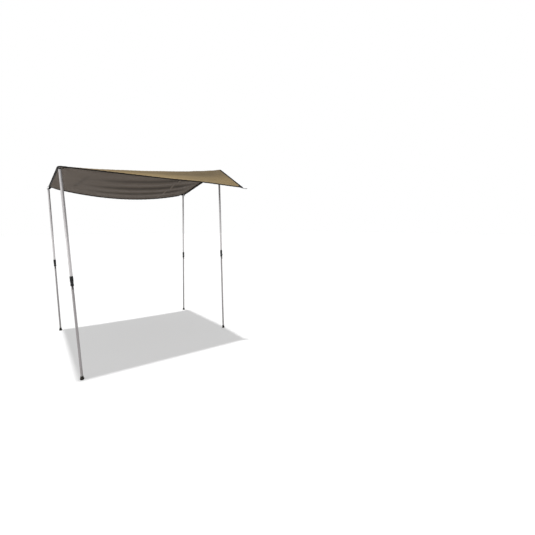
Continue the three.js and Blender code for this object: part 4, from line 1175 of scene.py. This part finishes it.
zipper = {
    "inner": 0.014, "outer": 0.010, "thickness": 0.001, "chainWidth": 0.0045, "chainHeight": 0.0032,
    "shoulder": 0.001, "drop": 0.0018, "pitch": 0.0036, "topBand": 0.013, "topLifts": (0.0002, 0.0008),
    "cordOut": 0.0008, "cordRadius": 0.0011,
}


def zipTiltAt(y):
    # slope of the cloth's last strip across to the zipped edge
    y = np.array(y)
    inner = innerX(y)
    return (clothForm(inner, y) - clothForm(inner - zipper["inner"], y)) / zipper["inner"]


zipTilt = float((zipTiltAt(canopy["peak"][1]) + zipTiltAt(canopy["innerFront"][1])) / 2)


def onZip(across, y, lift=0.0):
    # the tape lies under the cloth by its drop, and runs on outside it at the slope of the cloth's edge
    inner = innerX(y)
    under = clothForm(inner + np.minimum(across, 0), y)
    z = under + zipTilt * np.maximum(across, 0) - zipper["drop"] + lift
    return np.stack([inner + across, y + 0 * z, z], -1) + origin


zipY = np.concatenate([
    np.linspace(canopy["innerRear"][1], canopy["peak"][1], 70),
    np.linspace(canopy["peak"][1], canopy["innerFront"][1], 120)[1:],
])[:, None]
zipAcross = np.concatenate([
    np.linspace(-zipper["inner"], 0, 6), np.linspace(0.002, zipper["outer"] + 0.0012, 6),
])[None]
tapeHalf = zipper["thickness"] / 2
zipUv = np.stack([zipAcross + 0 * zipY, zipY + 0 * zipAcross], -1)
zipParts = slab(onZip(zipAcross, zipY, tapeHalf), onZip(zipAcross, zipY, -tapeHalf), zipUv)
cordAcross = zipper["outer"] + zipper["cordOut"]
cordRing = np.radians(np.arange(8) * 45)
cordAt = onZip(np.full_like(zipY, cordAcross) + 0 * zipY, zipY)
cordRound = np.stack([np.cos(cordRing), 0 * cordRing, np.sin(cordRing)], -1) * zipper["cordRadius"]
cordPoints = cordAt + cordRound[None]
zipParts.append(grid(cordPoints, wrapColumns=True, caps=True))
toothSide = np.array([
    [-0.0016, 0.0006], [0.0004, 0.0006], [0.0009, 0.0011], [0.0019, 0.0010],
    [0.0022, 0.0], [0.0019, -0.0010], [0.0009, -0.0011], [0.0004, -0.0006], [-0.0016, -0.0006],
])
high = zipper["chainHeight"] / 2
toothRings = ((0.86, -1), (1, -0.72), (1, 0.72), (0.86, 1))  # each ring's width and height, as shares
toothShape = np.concatenate([
    np.column_stack([toothSide * wide, np.full(9, high * level)]) for wide, level in toothRings
])
toothFaces = grid(toothShape.reshape(4, 9, 3), wrapColumns=True, caps=True)["faces"]
chainCentre = zipper["outer"] + (zipper["chainWidth"] + zipper["shoulder"]) / 2
chainLine = onZip(np.full(len(zipY), chainCentre), zipY[:, 0])
toothAt, toothAlong = evenly(chainLine, zipper["pitch"])
toothUp = np.tile(unit(np.array([-zipTilt, 0, 1.0])), (len(toothAt), 1))
toothParts = scatter(toothShape, toothFaces, toothAt, toothAlong, toothUp, finish=1)
zipPieces = [
    addPiece(
        "zip_tape_half", zipParts + [toothParts], [zipTape, zipNylon], "canopy", ("side_zip",),
        angle=40,
    )
]
flap = {"across": -0.0095, "ends": 0.045, "depth": 0.022, "thickness": 0.0014, "flare": 0.003, "wave": 0.0016}
flapY = np.linspace(canopy["peak"][1] + flap["ends"], canopy["innerFront"][1] - flap["ends"], 220)[:, None]
flapDown = np.linspace(0, 1, 12)[None]


def flapSide(way):
    # hangs from the tape: sideways flare d^2 + wave d sin(k y), down depth d, half a thickness to each side
    sway = flap["flare"] * flapDown**2 + flap["wave"] * flapDown * np.sin(34 * flapY + 2 * np.sin(9 * flapY))
    thick = way * flap["thickness"] / 2 * np.sqrt(1 - 0.8 * flapDown**6)
    base = onZip(np.full_like(flapY, flap["across"]) + 0 * flapDown, flapY, -tapeHalf)
    return base + np.stack([sway + thick, 0 * sway, -flap["depth"] * flapDown + 0 * sway], -1)


flapUv = np.stack([flapDown * flap["depth"] + 0 * flapY, flapY + 0 * flapDown], -1)
flapParts = slab(flapSide(1), flapSide(-1), flapUv)
zipPieces.append(addPiece("zip_flap", flapParts, [binding], "canopy", angle=60))
edgeY = zipY[2:-2]
edgeAcross = np.linspace(-zipper["topBand"], 0.0006, 8)[None]
edgeX = innerX(edgeY) + edgeAcross
edgeLow, edgeHigh = (onCloth(edgeX, edgeY + 0 * edgeX, half + lift) for lift in zipper["topLifts"])
edgeUv = np.stack([edgeAcross + 0 * edgeY, edgeY + 0 * edgeAcross], -1)
edgeParts = slab(edgeHigh, edgeLow, edgeUv)
zipPieces.append(addPiece("zip_edge_binding", edgeParts, [binding], "canopy"))
zipThreads = []
zipStitchY = np.linspace(canopy["innerRear"][1] + 0.02, canopy["innerFront"][1] - 0.02, 400)
for across in stitch["zipLines"]:
    line = onZip(np.full(400, across), zipStitchY, -tapeHalf - stitch["lift"])
    points, directions = evenly(line, stitch["pitch"])
    threadUp = toothUp[:1].repeat(len(points), 0)
    zipThreads.append(scatter(stitchShape, stitchFaces, points, directions, threadUp))
zipPieces.append(addPiece("zip_stitching", zipThreads, [darkThread], "canopy", weld=False))

slider = {
    "length": 0.020, "wall": 0.0019, "clearance": 0.0005, "tapeSide": 0.0044, "bridgeLength": 0.012,
    "bridgeGap": 0.0044, "bridgeBar": 0.0014, "bridgeBend": 0.0022, "barRadii": (0.0012, 0.0007),
    "stopLength": 0.005, "stopEnd": 0.008,
}
slide = joints["zip_slide"]
chainAlong = unit(np.array(slide["axis"], float))
chainSide = np.array([-1.0, 0.0, -zipTilt])
chainSide = unit(chainSide - chainAlong * (chainSide @ chainAlong))
chainTurn = np.stack([chainSide, chainAlong, np.cross(chainSide, chainAlong)])
stopAt = chainLine[-1] + chainAlong * slider["stopEnd"]
sliderAt = stopAt + chainAlong * (slider["stopLength"] / 2 + 0.0003 + slider["length"] / 2)
inside = zipper["chainWidth"] / 2 + slider["clearance"]
clipHigh = zipper["chainHeight"] / 2 + slider["clearance"]
clipTop = clipHigh + slider["wall"]
tapeOpen = inside + slider["tapeSide"]
slit = tapeHalf + slider["clearance"]


def clipLine():
    # a C section round the chain, open on the tape's side
    wall = slider["wall"]
    return rounded([
        (-inside - wall, -clipTop), (tapeOpen, -clipTop + 0.0006), (tapeOpen, -slit), (inside, -slit),
        (inside, -clipHigh), (-inside, -clipHigh), (-inside, clipHigh), (inside, clipHigh),
        (inside, slit), (tapeOpen, slit), (tapeOpen, clipTop - 0.0006), (-inside - wall, clipTop),
    ], [0.0016, 0.0012, 0.0003, 0.0003, 0.0004, 0.0006, 0.0006, 0.0004, 0.0003, 0.0003, 0.0012, 0.0016], 3)


def clipParts(length, at):
    # the section carried along the chain, narrower at its ends
    solid = extrude(clipLine(), length, 0.0007)
    turned = np.stack([chainTurn[0], chainTurn[2], -chainTurn[1]])
    return placed(solid, at, turned)


def barPath(points, radius, sides=10):
    # a round bar along a line of points in the slider's frame, flattened a little across
    line = np.array(points, float)
    tangent = unit(np.gradient(line, axis=0))
    side = np.tile([1.0, 0, 0], (len(line), 1))
    up = unit(np.cross(tangent, side))
    a = np.linspace(0, 2 * np.pi, sides, endpoint=False)[None, :, None]
    ring = line[:, None] + np.cos(a) * side[:, None] * radius[0] + np.sin(a) * up[:, None] * radius[1]
    return grid(ring, wrapColumns=True, caps=True)


bridgeHalf = slider["bridgeLength"] / 2 - slider["bridgeBar"] / 2
bridgeLow = -clipTop - slider["bridgeGap"] - slider["bridgeBar"] / 2
bridgeRoot = -clipTop + 0.0008
a = np.radians(np.linspace(0, 90, 6))
bend = slider["bridgeBend"]
rise = [(0, -bridgeHalf, bridgeRoot), (0, -bridgeHalf, bridgeLow + bend)]
arc = [(0, -bridgeHalf + bend * (1 - math.cos(q)), bridgeLow + bend * (1 - math.sin(q))) for q in a]
back = [(0, -y, z) for _, y, z in (rise + arc)[::-1]]
bridgeBar = barPath(rise + arc[1:] + back[1:], slider["barRadii"])
bridgeParts = placed(bridgeBar, sliderAt, chainTurn)
stopParts = [clipParts(slider["stopLength"], stopAt)]
zipPieces.append(addPiece("zip_end_clip", stopParts, [zipMetal], "canopy", ("zip_end_stop",)))
sliderParts = [clipParts(slider["length"], sliderAt), bridgeParts]
addPiece("zip_slider_body", sliderParts, [zipMetal], "zip_slider", ("zip_slider",))

pull = {"length": 0.032, "width": 0.008, "thickness": 0.0016, "slot": (0.0019, 0.0033), "slotDrop": 0.0041}
w = pull["width"] / 2
pullEnd = -pull["length"]
leftSide = [(-w * 0.7, 0.0007), (-w * 0.7, -0.009), (-w, -0.013), (-w, pullEnd + w), (-w * 0.6, pullEnd)]
pullLine = rounded(leftSide + [(-x, z) for x, z in leftSide[::-1]], 0.0016, 5)
q = np.arctan2(pullLine[:, 1] + pull["slotDrop"], pullLine[:, 0])
slotX = np.sign(np.cos(q)) * pull["slot"][0] * np.abs(np.cos(q)) ** 0.5
slotZ = np.sign(np.sin(q)) * pull["slot"][1] * np.abs(np.sin(q)) ** 0.5 - pull["slotDrop"]
slotLine = np.stack([slotX, slotZ], -1)
pullBar = extrude(pullLine, pull["thickness"], 0.0003, hole=slotLine)
pullAt = sliderAt + chainTurn[2] * (-clipTop - slider["bridgeGap"] / 2)
swing = unit(np.array(joints["zip_pull_swing"]["axis"], float))
pullTurn = np.stack([swing, np.array([0, 0, 1.0]), np.cross(swing, [0, 0, 1.0])])
pullParts = [placed(pullBar, pullAt, pullTurn)]
addPiece("zip_pull_tab", pullParts, [zipMetal], "zip_pull", ("zip_pull",))
print("zip made")

pole = {
    "upperRadius": 0.013, "upperWall": 0.0012, "lowerRadius": 0.0115, "lowerWall": 0.001, "overlap": 0.140,
    "lengths": {"outer_rear": 1.05, "outer_front": 1.05, "inner_front": 1.05, "ridge": 1.18}, "fit": 0.0003,
}


def tubeParts(outer, wall, low, high):
    # a wall with slightly rounded rims, turned round the pole's axis
    inner = outer - wall
    profile = rounded([(outer, low), (outer, high), (inner, high), (inner, low)], 0.0004, 3)
    return revolve(profile, 64)


clamp = {
    "boltOut": 0.0203, "boltBelow": 0.022, "radius": 0.0155, "below": 0.052, "above": 0.046,
    "slit": 0.0024, "slitHeight": 0.044, "ribs": 26, "ribHeight": 0.0007, "ribFloor": 0.0145,
    "ear": 0.004, "earHeight": 0.015, "earReach": 0.010,
}
acrossTurn = np.array([[0, 1.0, 0], [0, 0, 1.0], [1.0, 0, 0]])  # x, y, z laid along the pole's y, z, x


def ringParts(profile, ribHeight, ribs, segments, low, high):
    # a turned wall whose radius swells by h (0.5 + 0.5 cos n a)^2 between two heights, which gives grip ribs
    ring = np.array(profile, float)
    a = np.linspace(0, 2 * np.pi, segments, endpoint=False)[:, None]
    swell = smooth(low, low + 0.002, ring[:, 1]) * (1 - smooth(high - 0.002, high, ring[:, 1]))
    swell = swell * (ring[:, 0] > clamp["ribFloor"])
    r = ring[:, 0] + ribHeight * swell * (0.5 + 0.5 * np.cos(ribs * a)) ** 2
    points = np.stack([np.cos(a) * r, np.sin(a) * r, ring[:, 1] + 0 * a], -1)
    return grid(points, wrapRows=True, wrapColumns=True)


def collarParts():
    # a slit sleeve under a ribbed ring, with an ear each side of the lever
    r = clamp["radius"]
    low, high = -clamp["below"], clamp["above"]
    lowBore, highBore = pole["lowerRadius"] + pole["fit"], pole["upperRadius"] + pole["fit"]
    slitTop = low + clamp["slitHeight"]
    gap = math.degrees(math.asin(clamp["slit"] / 2 / clamp["ribFloor"]))
    sleeve = rounded([
        (lowBore, low), (r - 0.0014, low), (r - 0.0002, low + 0.003), (r - 0.0002, -0.038),
        (r - 0.0012, -0.0365), (r - 0.0012, slitTop - 0.0005), (lowBore, slitTop - 0.0005),
    ], 0.0006, 2)
    parts = [revolve(sleeve, 72, sweep=(-90 + gap, 270 - gap))]
    neck = rounded([
        (lowBore, slitTop - 0.0006), (r - 0.0012, slitTop - 0.0006), (r - 0.0012, slitTop + 0.0015),
        (r, slitTop + 0.0028), (r, high - 0.008), (r - 0.0004, high - 0.003), (r - 0.0014, high),
        (highBore, high), (highBore, -pole["fit"]), (lowBore, -pole["fit"]),
    ], 0.0006, 2)
    dense = np.concatenate([mix(neck, np.roll(neck, -1, 0), share) for share in (0.0, 0.5)], 1).reshape(-1, 2)
    groove = -clamp["ribHeight"] * 1.4
    parts.append(ringParts(dense, groove, clamp["ribs"], clamp["ribs"] * 6, 0.002, high - 0.009))
    earIn = lever["width"] / 2 + pole["fit"]
    deep = lever["head"] + lever["standOff"] + clamp["earReach"]
    front = -r - clamp["earReach"]
    h = clamp["earHeight"] / 2
    outline = rounded([
        (front + 0.0006, -h + 0.002), (front + 0.004, -h), (front + deep, -h),
        (front + deep, h), (front + 0.004, h), (front + 0.0006, h - 0.002),
    ], [0.004, 0.004, 0.0004, 0.0004, 0.004, 0.004], 5)
    for side in (1, -1):
        solid = extrude(outline, clamp["ear"], 0.0007)
        at = (side * (earIn + clamp["ear"] / 2), 0, -clamp["boltBelow"])
        parts.append(placed(solid, at, acrossTurn))
    return parts


lever = {
    "width": 0.0094, "length": 0.062, "thickness": 0.0046, "head": 0.004, "standOff": 0.0008,
    "lip": 0.005, "lipRise": 0.010,
}


def leverParts():
    # the cam head and handle as one outline about the bolt's axis, with three grip ridges near its lip
    r = lever["head"]
    near = r - lever["standOff"]
    far = near - lever["thickness"]
    length = lever["length"]
    q = np.linspace(-math.acos(near / r), math.pi + math.asin(-far / r), 22)
    arcLine = np.stack([r * np.cos(q), r * np.sin(q)], -1)
    lipOut = far - lever["lip"]
    lipTop = -length + lever["lipRise"]
    handle = np.array([
        (far - 0.0012, -0.012), (far, -0.026), (far, -0.036), (far - 0.0008, -0.038), (far, -0.040),
        (far - 0.0008, -0.042), (far, -0.044), (far - 0.0008, -0.046), (far, -0.048), (far, lipTop),
        (lipOut + 0.0005, -length + 0.0005), (lipOut + lever["thickness"] - 0.0008, -length + 0.0002),
        (near, lipTop), (near, -0.030), (near, -0.010),
    ])
    outline = np.concatenate([arcLine, handle])
    solid = extrude(outline, lever["width"], 0.0008)
    return placed(solid, (0, -clamp["boltOut"], -clamp["boltBelow"]), acrossTurn)


def boltParts():
    # a button head with a round socket, a shank, and a six-sided nut
    reach = lever["width"] / 2 + pole["fit"] + clamp["ear"] + pole["fit"]
    top = reach + 0.002
    head = revolve([
        (0, reach - 0.002), (0.002, reach - 0.002), (0.002, reach), (0.004, reach), (0.0039, reach + 0.0009),
        (0.0032, reach + 0.0017), (0.0022, top), (0.0013, top), (0.0012, top - 0.0012), (0, top - 0.0012),
    ], 36, closed=False)
    shankTop = reach - 0.0019
    shank = revolve([(0, -reach), (0.002, -reach), (0.002, shankTop), (0, shankTop)], 20, closed=False)
    sixths = [math.radians(60 * k) for k in range(6)]
    nut = rounded([(0.0039 * math.cos(a), 0.0039 * math.sin(a)) for a in sixths], 0.0003, 2)
    nutSolid = placed(extrude(nut, 0.002, 0.0003), (0, 0, -reach - 0.001), np.eye(3))
    at = (0, -clamp["boltOut"], -clamp["boltBelow"])
    return [placed(part, at, acrossTurn) for part in (head, shank, nutSolid)]


rubberFoot = {"floor": 0.007, "height": 0.038}


def footParts():
    # a moulded rubber foot with ring grooves on its neck, in the pole's frame from its sole
    bore = pole["lowerRadius"] + pole["fit"]
    floor, top = rubberFoot["floor"], rubberFoot["height"]
    profile = rounded([
        (0, -0.003), (0.0150, -0.003), (0.0152, 0.0), (0.0200, 0.0085), (0.0199, 0.0115),
        (0.0160, 0.0225), (0.0147, 0.0250), (0.0147, 0.0268), (0.0139, 0.0276), (0.0139, 0.0288),
        (0.0147, 0.0296), (0.0147, 0.0312), (0.0139, 0.0320), (0.0139, 0.0332), (0.0146, 0.0340),
        (0.0146, 0.0372), (0.0138, top), (bore, top), (bore, floor), (0, floor),
    ], [0, 0.0006, 0.0008, 0.002, 0.002, 0.002, 0.001] + [0.0003] * 10 + [0.0002, 0.0002, 0], 3)
    return revolve(profile, 56, closed=False)


plug = {"spigot": 0.004, "spigotHeight": 0.014, "shoulder": 0.003, "depth": 0.030}


def plugParts(shoulder):
    # a nylon plug that caps the tube, up to its domed shoulder
    r, bore = pole["upperRadius"], pole["upperRadius"] - pole["upperWall"] - pole["fit"]
    seat = shoulder - plug["shoulder"]
    low = seat - plug["depth"]
    profile = rounded([
        (0, low), (bore - 0.0008, low), (bore, low + 0.001), (bore, seat + 0.0003), (r, seat + 0.0003),
        (r, shoulder - 0.0014), (0.0072, shoulder - 0.0001), (0.0045, shoulder), (0, shoulder),
    ], [0, 0.0003, 0.0003, 0.0001, 0.0003, 0.001, 0.0005, 0.0003, 0], 3)
    return revolve(profile, 48, closed=False)


def spigotParts(shoulder):
    # a steel pin with a step at its root and a rounded tip
    r, top = plug["spigot"], shoulder + plug["spigotHeight"]
    profile = rounded([
        (0, shoulder - 0.001), (r, shoulder - 0.001), (r, shoulder + 0.002), (r - 0.0004, shoulder + 0.0026),
        (r - 0.0004, shoulder + 0.0034), (r, shoulder + 0.004), (r, top - 0.003), (r - 0.002, top - 0.0004),
        (0, top),
    ], [0, 0, 0.0002, 0.0002, 0.0002, 0.0002, 0.0014, 0.0014, 0], 4)
    return revolve(profile, 32, closed=False)


for name, length in pole["lengths"].items():
    up = unit(np.array(joints[f"{name}_telescope"]["axis"], float))
    up = up * np.sign(up[2])
    across = -unit(np.array(joints[f"{name}_clamp_swing"]["axis"], float))
    turn = np.stack([across, np.cross(up, across), up])
    pivot = np.array(joints[f"{name}_clamp_swing"]["pos_m"], float)
    collarAt = pivot + turn[1] * clamp["boltOut"] + up * clamp["boltBelow"]
    clampHeight = collarAt[2] / up[2]
    footAt = collarAt - up * clampHeight
    upper, lower = f"{name}_upper_pole", f"{name}_lower_pole"

    def stand(part):
        # from the pole's own frame, whose z is its axis and whose 0 is the collar
        return placed(part, collarAt, turn)

    tube = tubeParts(pole["upperRadius"], pole["upperWall"], 0, length)
    addPiece(f"{name}_upper_steel", [stand(tube)], [poleSteel], upper, (f"{name}_upper_tube",))
    lowerEnd = rubberFoot["floor"] + pole["fit"] - clampHeight
    tube = tubeParts(pole["lowerRadius"], pole["lowerWall"], lowerEnd, pole["overlap"])
    addPiece(f"{name}_lower_steel", [stand(tube)], [lowerSteelShade], lower, (f"{name}_lower_tube",))
    parts = [stand(part) for part in collarParts()]
    addPiece(f"{name}_collar", parts, [nylon], upper, (f"{name}_clamp_collar",), angle=40)
    parts, nodes = [stand(leverParts())], (f"{name}_clamp_lever",)
    addPiece(f"{name}_lever", parts, [nylon], f"{name}_lever", nodes, angle=40)
    parts = [stand(part) for part in boltParts()]
    addPiece(f"{name}_bolt", parts, [boltSteel], upper, (f"{name}_clamp_bolt",))
    shoulder = length + plug["shoulder"]
    parts = [stand(plugParts(shoulder))]
    addPiece(f"{name}_plug", parts, [nylon], upper, (f"{name}_spigot_plug",))
    addPiece(f"{name}_spigot", [stand(spigotParts(shoulder))], [boltSteel], upper)
    foot = placed(footParts(), footAt, turn)
    foot["points"][:, 2] = np.maximum(foot["points"][:, 2], 0)
    addPiece(f"{name}_rubber_foot", [foot], [rubber], lower, (f"{name}_foot",))
    bush = frame["nodes"][f"{name}_guide_bush"]
    bush.data.materials.clear()
    bush.data.materials.append(nylon)
print("poles made")

studio = {
    "floor": 0.55, "floorWide": 60.0, "glow": 0.375, "sun": 2.6, "sunAngle": 2.0,
    "zenith": 0.45, "horizonDark": 0.14, "horizonBright": 0.70, "brightFrom": (-0.97, -0.24, 0.0),
    "band": 1.5, "bandLow": (0.10, 0.15), "bandHigh": (0.22, 0.40),
    "panel": 24.0, "panelSize": (3.2, 1.6), "panelAt": (-5.6, -1.7, 0.95), "panelAim": (0.0, 0.0, 2.0),
}


def studioWorld():
    # white to the camera; to the light, a sky whose horizon is bright on one side and dark on the other
    world = bpy.data.worlds.new("studio")
    world.use_nodes = True
    tree = world.node_tree
    tree.nodes.clear()
    way = put(tree, "ShaderNodeTexCoord").outputs["Generated"]
    up = put(tree, "ShaderNodeSeparateXYZ", {0: way}).outputs[2]
    ways = {0: way, 1: studio["brightFrom"]}
    toward = put(tree, "ShaderNodeVectorMath", ways, operation="DOT_PRODUCT").outputs["Value"]
    horizon = spanned(tree, toward, -0.5, 0.95, studio["horizonDark"], studio["horizonBright"])
    rise = spanned(tree, up, 0.0, 0.8)
    away = calc(tree, "MULTIPLY", horizon, calc(tree, "SUBTRACT", 1.0, rise))
    sky = calc(tree, "MULTIPLY_ADD", rise, studio["zenith"], away)
    bandStart = spanned(tree, up, *studio["bandLow"])
    bandEnd = spanned(tree, up, *studio["bandHigh"])
    above = calc(tree, "SUBTRACT", bandStart, bandEnd)
    sky = calc(tree, "MULTIPLY_ADD", calc(tree, "MULTIPLY", above, horizon), studio["band"], sky)
    light = put(tree, "ShaderNodeBackground", {"Color": (1, 1, 1, 1), "Strength": sky}).outputs[0]
    seen = put(tree, "ShaderNodeBackground", {"Color": (1, 1, 1, 1), "Strength": 1.0}).outputs[0]
    camera = put(tree, "ShaderNodeLightPath").outputs["Is Camera Ray"]
    chosen = put(tree, "ShaderNodeMixShader", {0: camera, 1: light, 2: seen}).outputs[0]
    put(tree, "ShaderNodeOutputWorld", {0: chosen})
    bpy.context.scene.world = world


def studioFloor():
    # a pale level floor, far wider than the view, with a little glow of its own that keeps the shadow even
    material, tree, shader = newMaterial("floor", Roughness=0.9, Specular_IOR_Level=0.0)
    value = studio["floor"]
    shader.inputs["Base Color"].default_value = (value, value, value, 1)
    shader.inputs["Emission Color"].default_value = (1, 1, 1, 1)
    shader.inputs["Emission Strength"].default_value = studio["glow"]
    wide = studio["floorWide"]
    mesh = bpy.data.meshes.new("studio_floor")
    square = [(-wide, -wide, 0), (wide, -wide, 0), (wide, wide, 0), (-wide, wide, 0)]
    mesh.from_pydata(square, [], [(0, 1, 2, 3)])
    mesh.materials.append(material)
    floor = bpy.data.objects.new("studio_floor", mesh)
    bpy.context.scene.collection.objects.link(floor)


def studioLights():
    # a sun overhead, and a broad low panel on the camera's left that edges the poles
    sun = bpy.data.objects.new("sun", bpy.data.lights.new("sun", "SUN"))
    sun.data.energy = studio["sun"]
    sun.data.angle = math.radians(studio["sunAngle"])
    panel = bpy.data.objects.new("panel", bpy.data.lights.new("panel", "AREA"))
    panel.data.energy = studio["panel"]
    panel.data.shape = "RECTANGLE"
    panel.data.size, panel.data.size_y = studio["panelSize"]
    panel.location = studio["panelAt"]
    panel.rotation_mode = "QUATERNION"
    panel.rotation_quaternion = (Vector(studio["panelAim"]) - panel.location).to_track_quat("-Z", "Y")
    for light in (sun, panel):
        bpy.context.scene.collection.objects.link(light)


view = {
    "at": (-2.32354, -3.19751, 1.54629), "yaw": 0.69833, "pitch": 0.13638, "roll": -0.00267, "lens": 19.970,
}


def photoCamera():
    # forward = (sin yaw cos pitch, cos yaw cos pitch, -sin pitch), then turned about it by the roll
    yaw, pitch, roll = view["yaw"], view["pitch"], view["roll"]
    forward = np.array([math.sin(yaw) * math.cos(pitch), math.cos(yaw) * math.cos(pitch), -math.sin(pitch)])
    right = np.array([math.cos(yaw), -math.sin(yaw), 0])
    up = np.cross(right, forward)
    sideAxis = math.cos(roll) * right + math.sin(roll) * up
    upAxis = -math.sin(roll) * right + math.cos(roll) * up
    camera = bpy.data.objects.new("camera", bpy.data.cameras.new("camera"))
    camera.data.lens = view["lens"]
    camera.data.sensor_width = 36
    place = np.eye(4)
    place[:3, :3] = np.stack([sideAxis, upAxis, -forward], 1)
    place[:3, 3] = np.array(view["at"]) + origin
    camera.matrix_world = Matrix(place.tolist())
    bpy.context.scene.collection.objects.link(camera)
    bpy.context.scene.camera = camera


studioWorld()
studioFloor()
studioLights()
photoCamera()
bpy.context.scene.view_settings.view_transform = "Standard"
print("studio set")
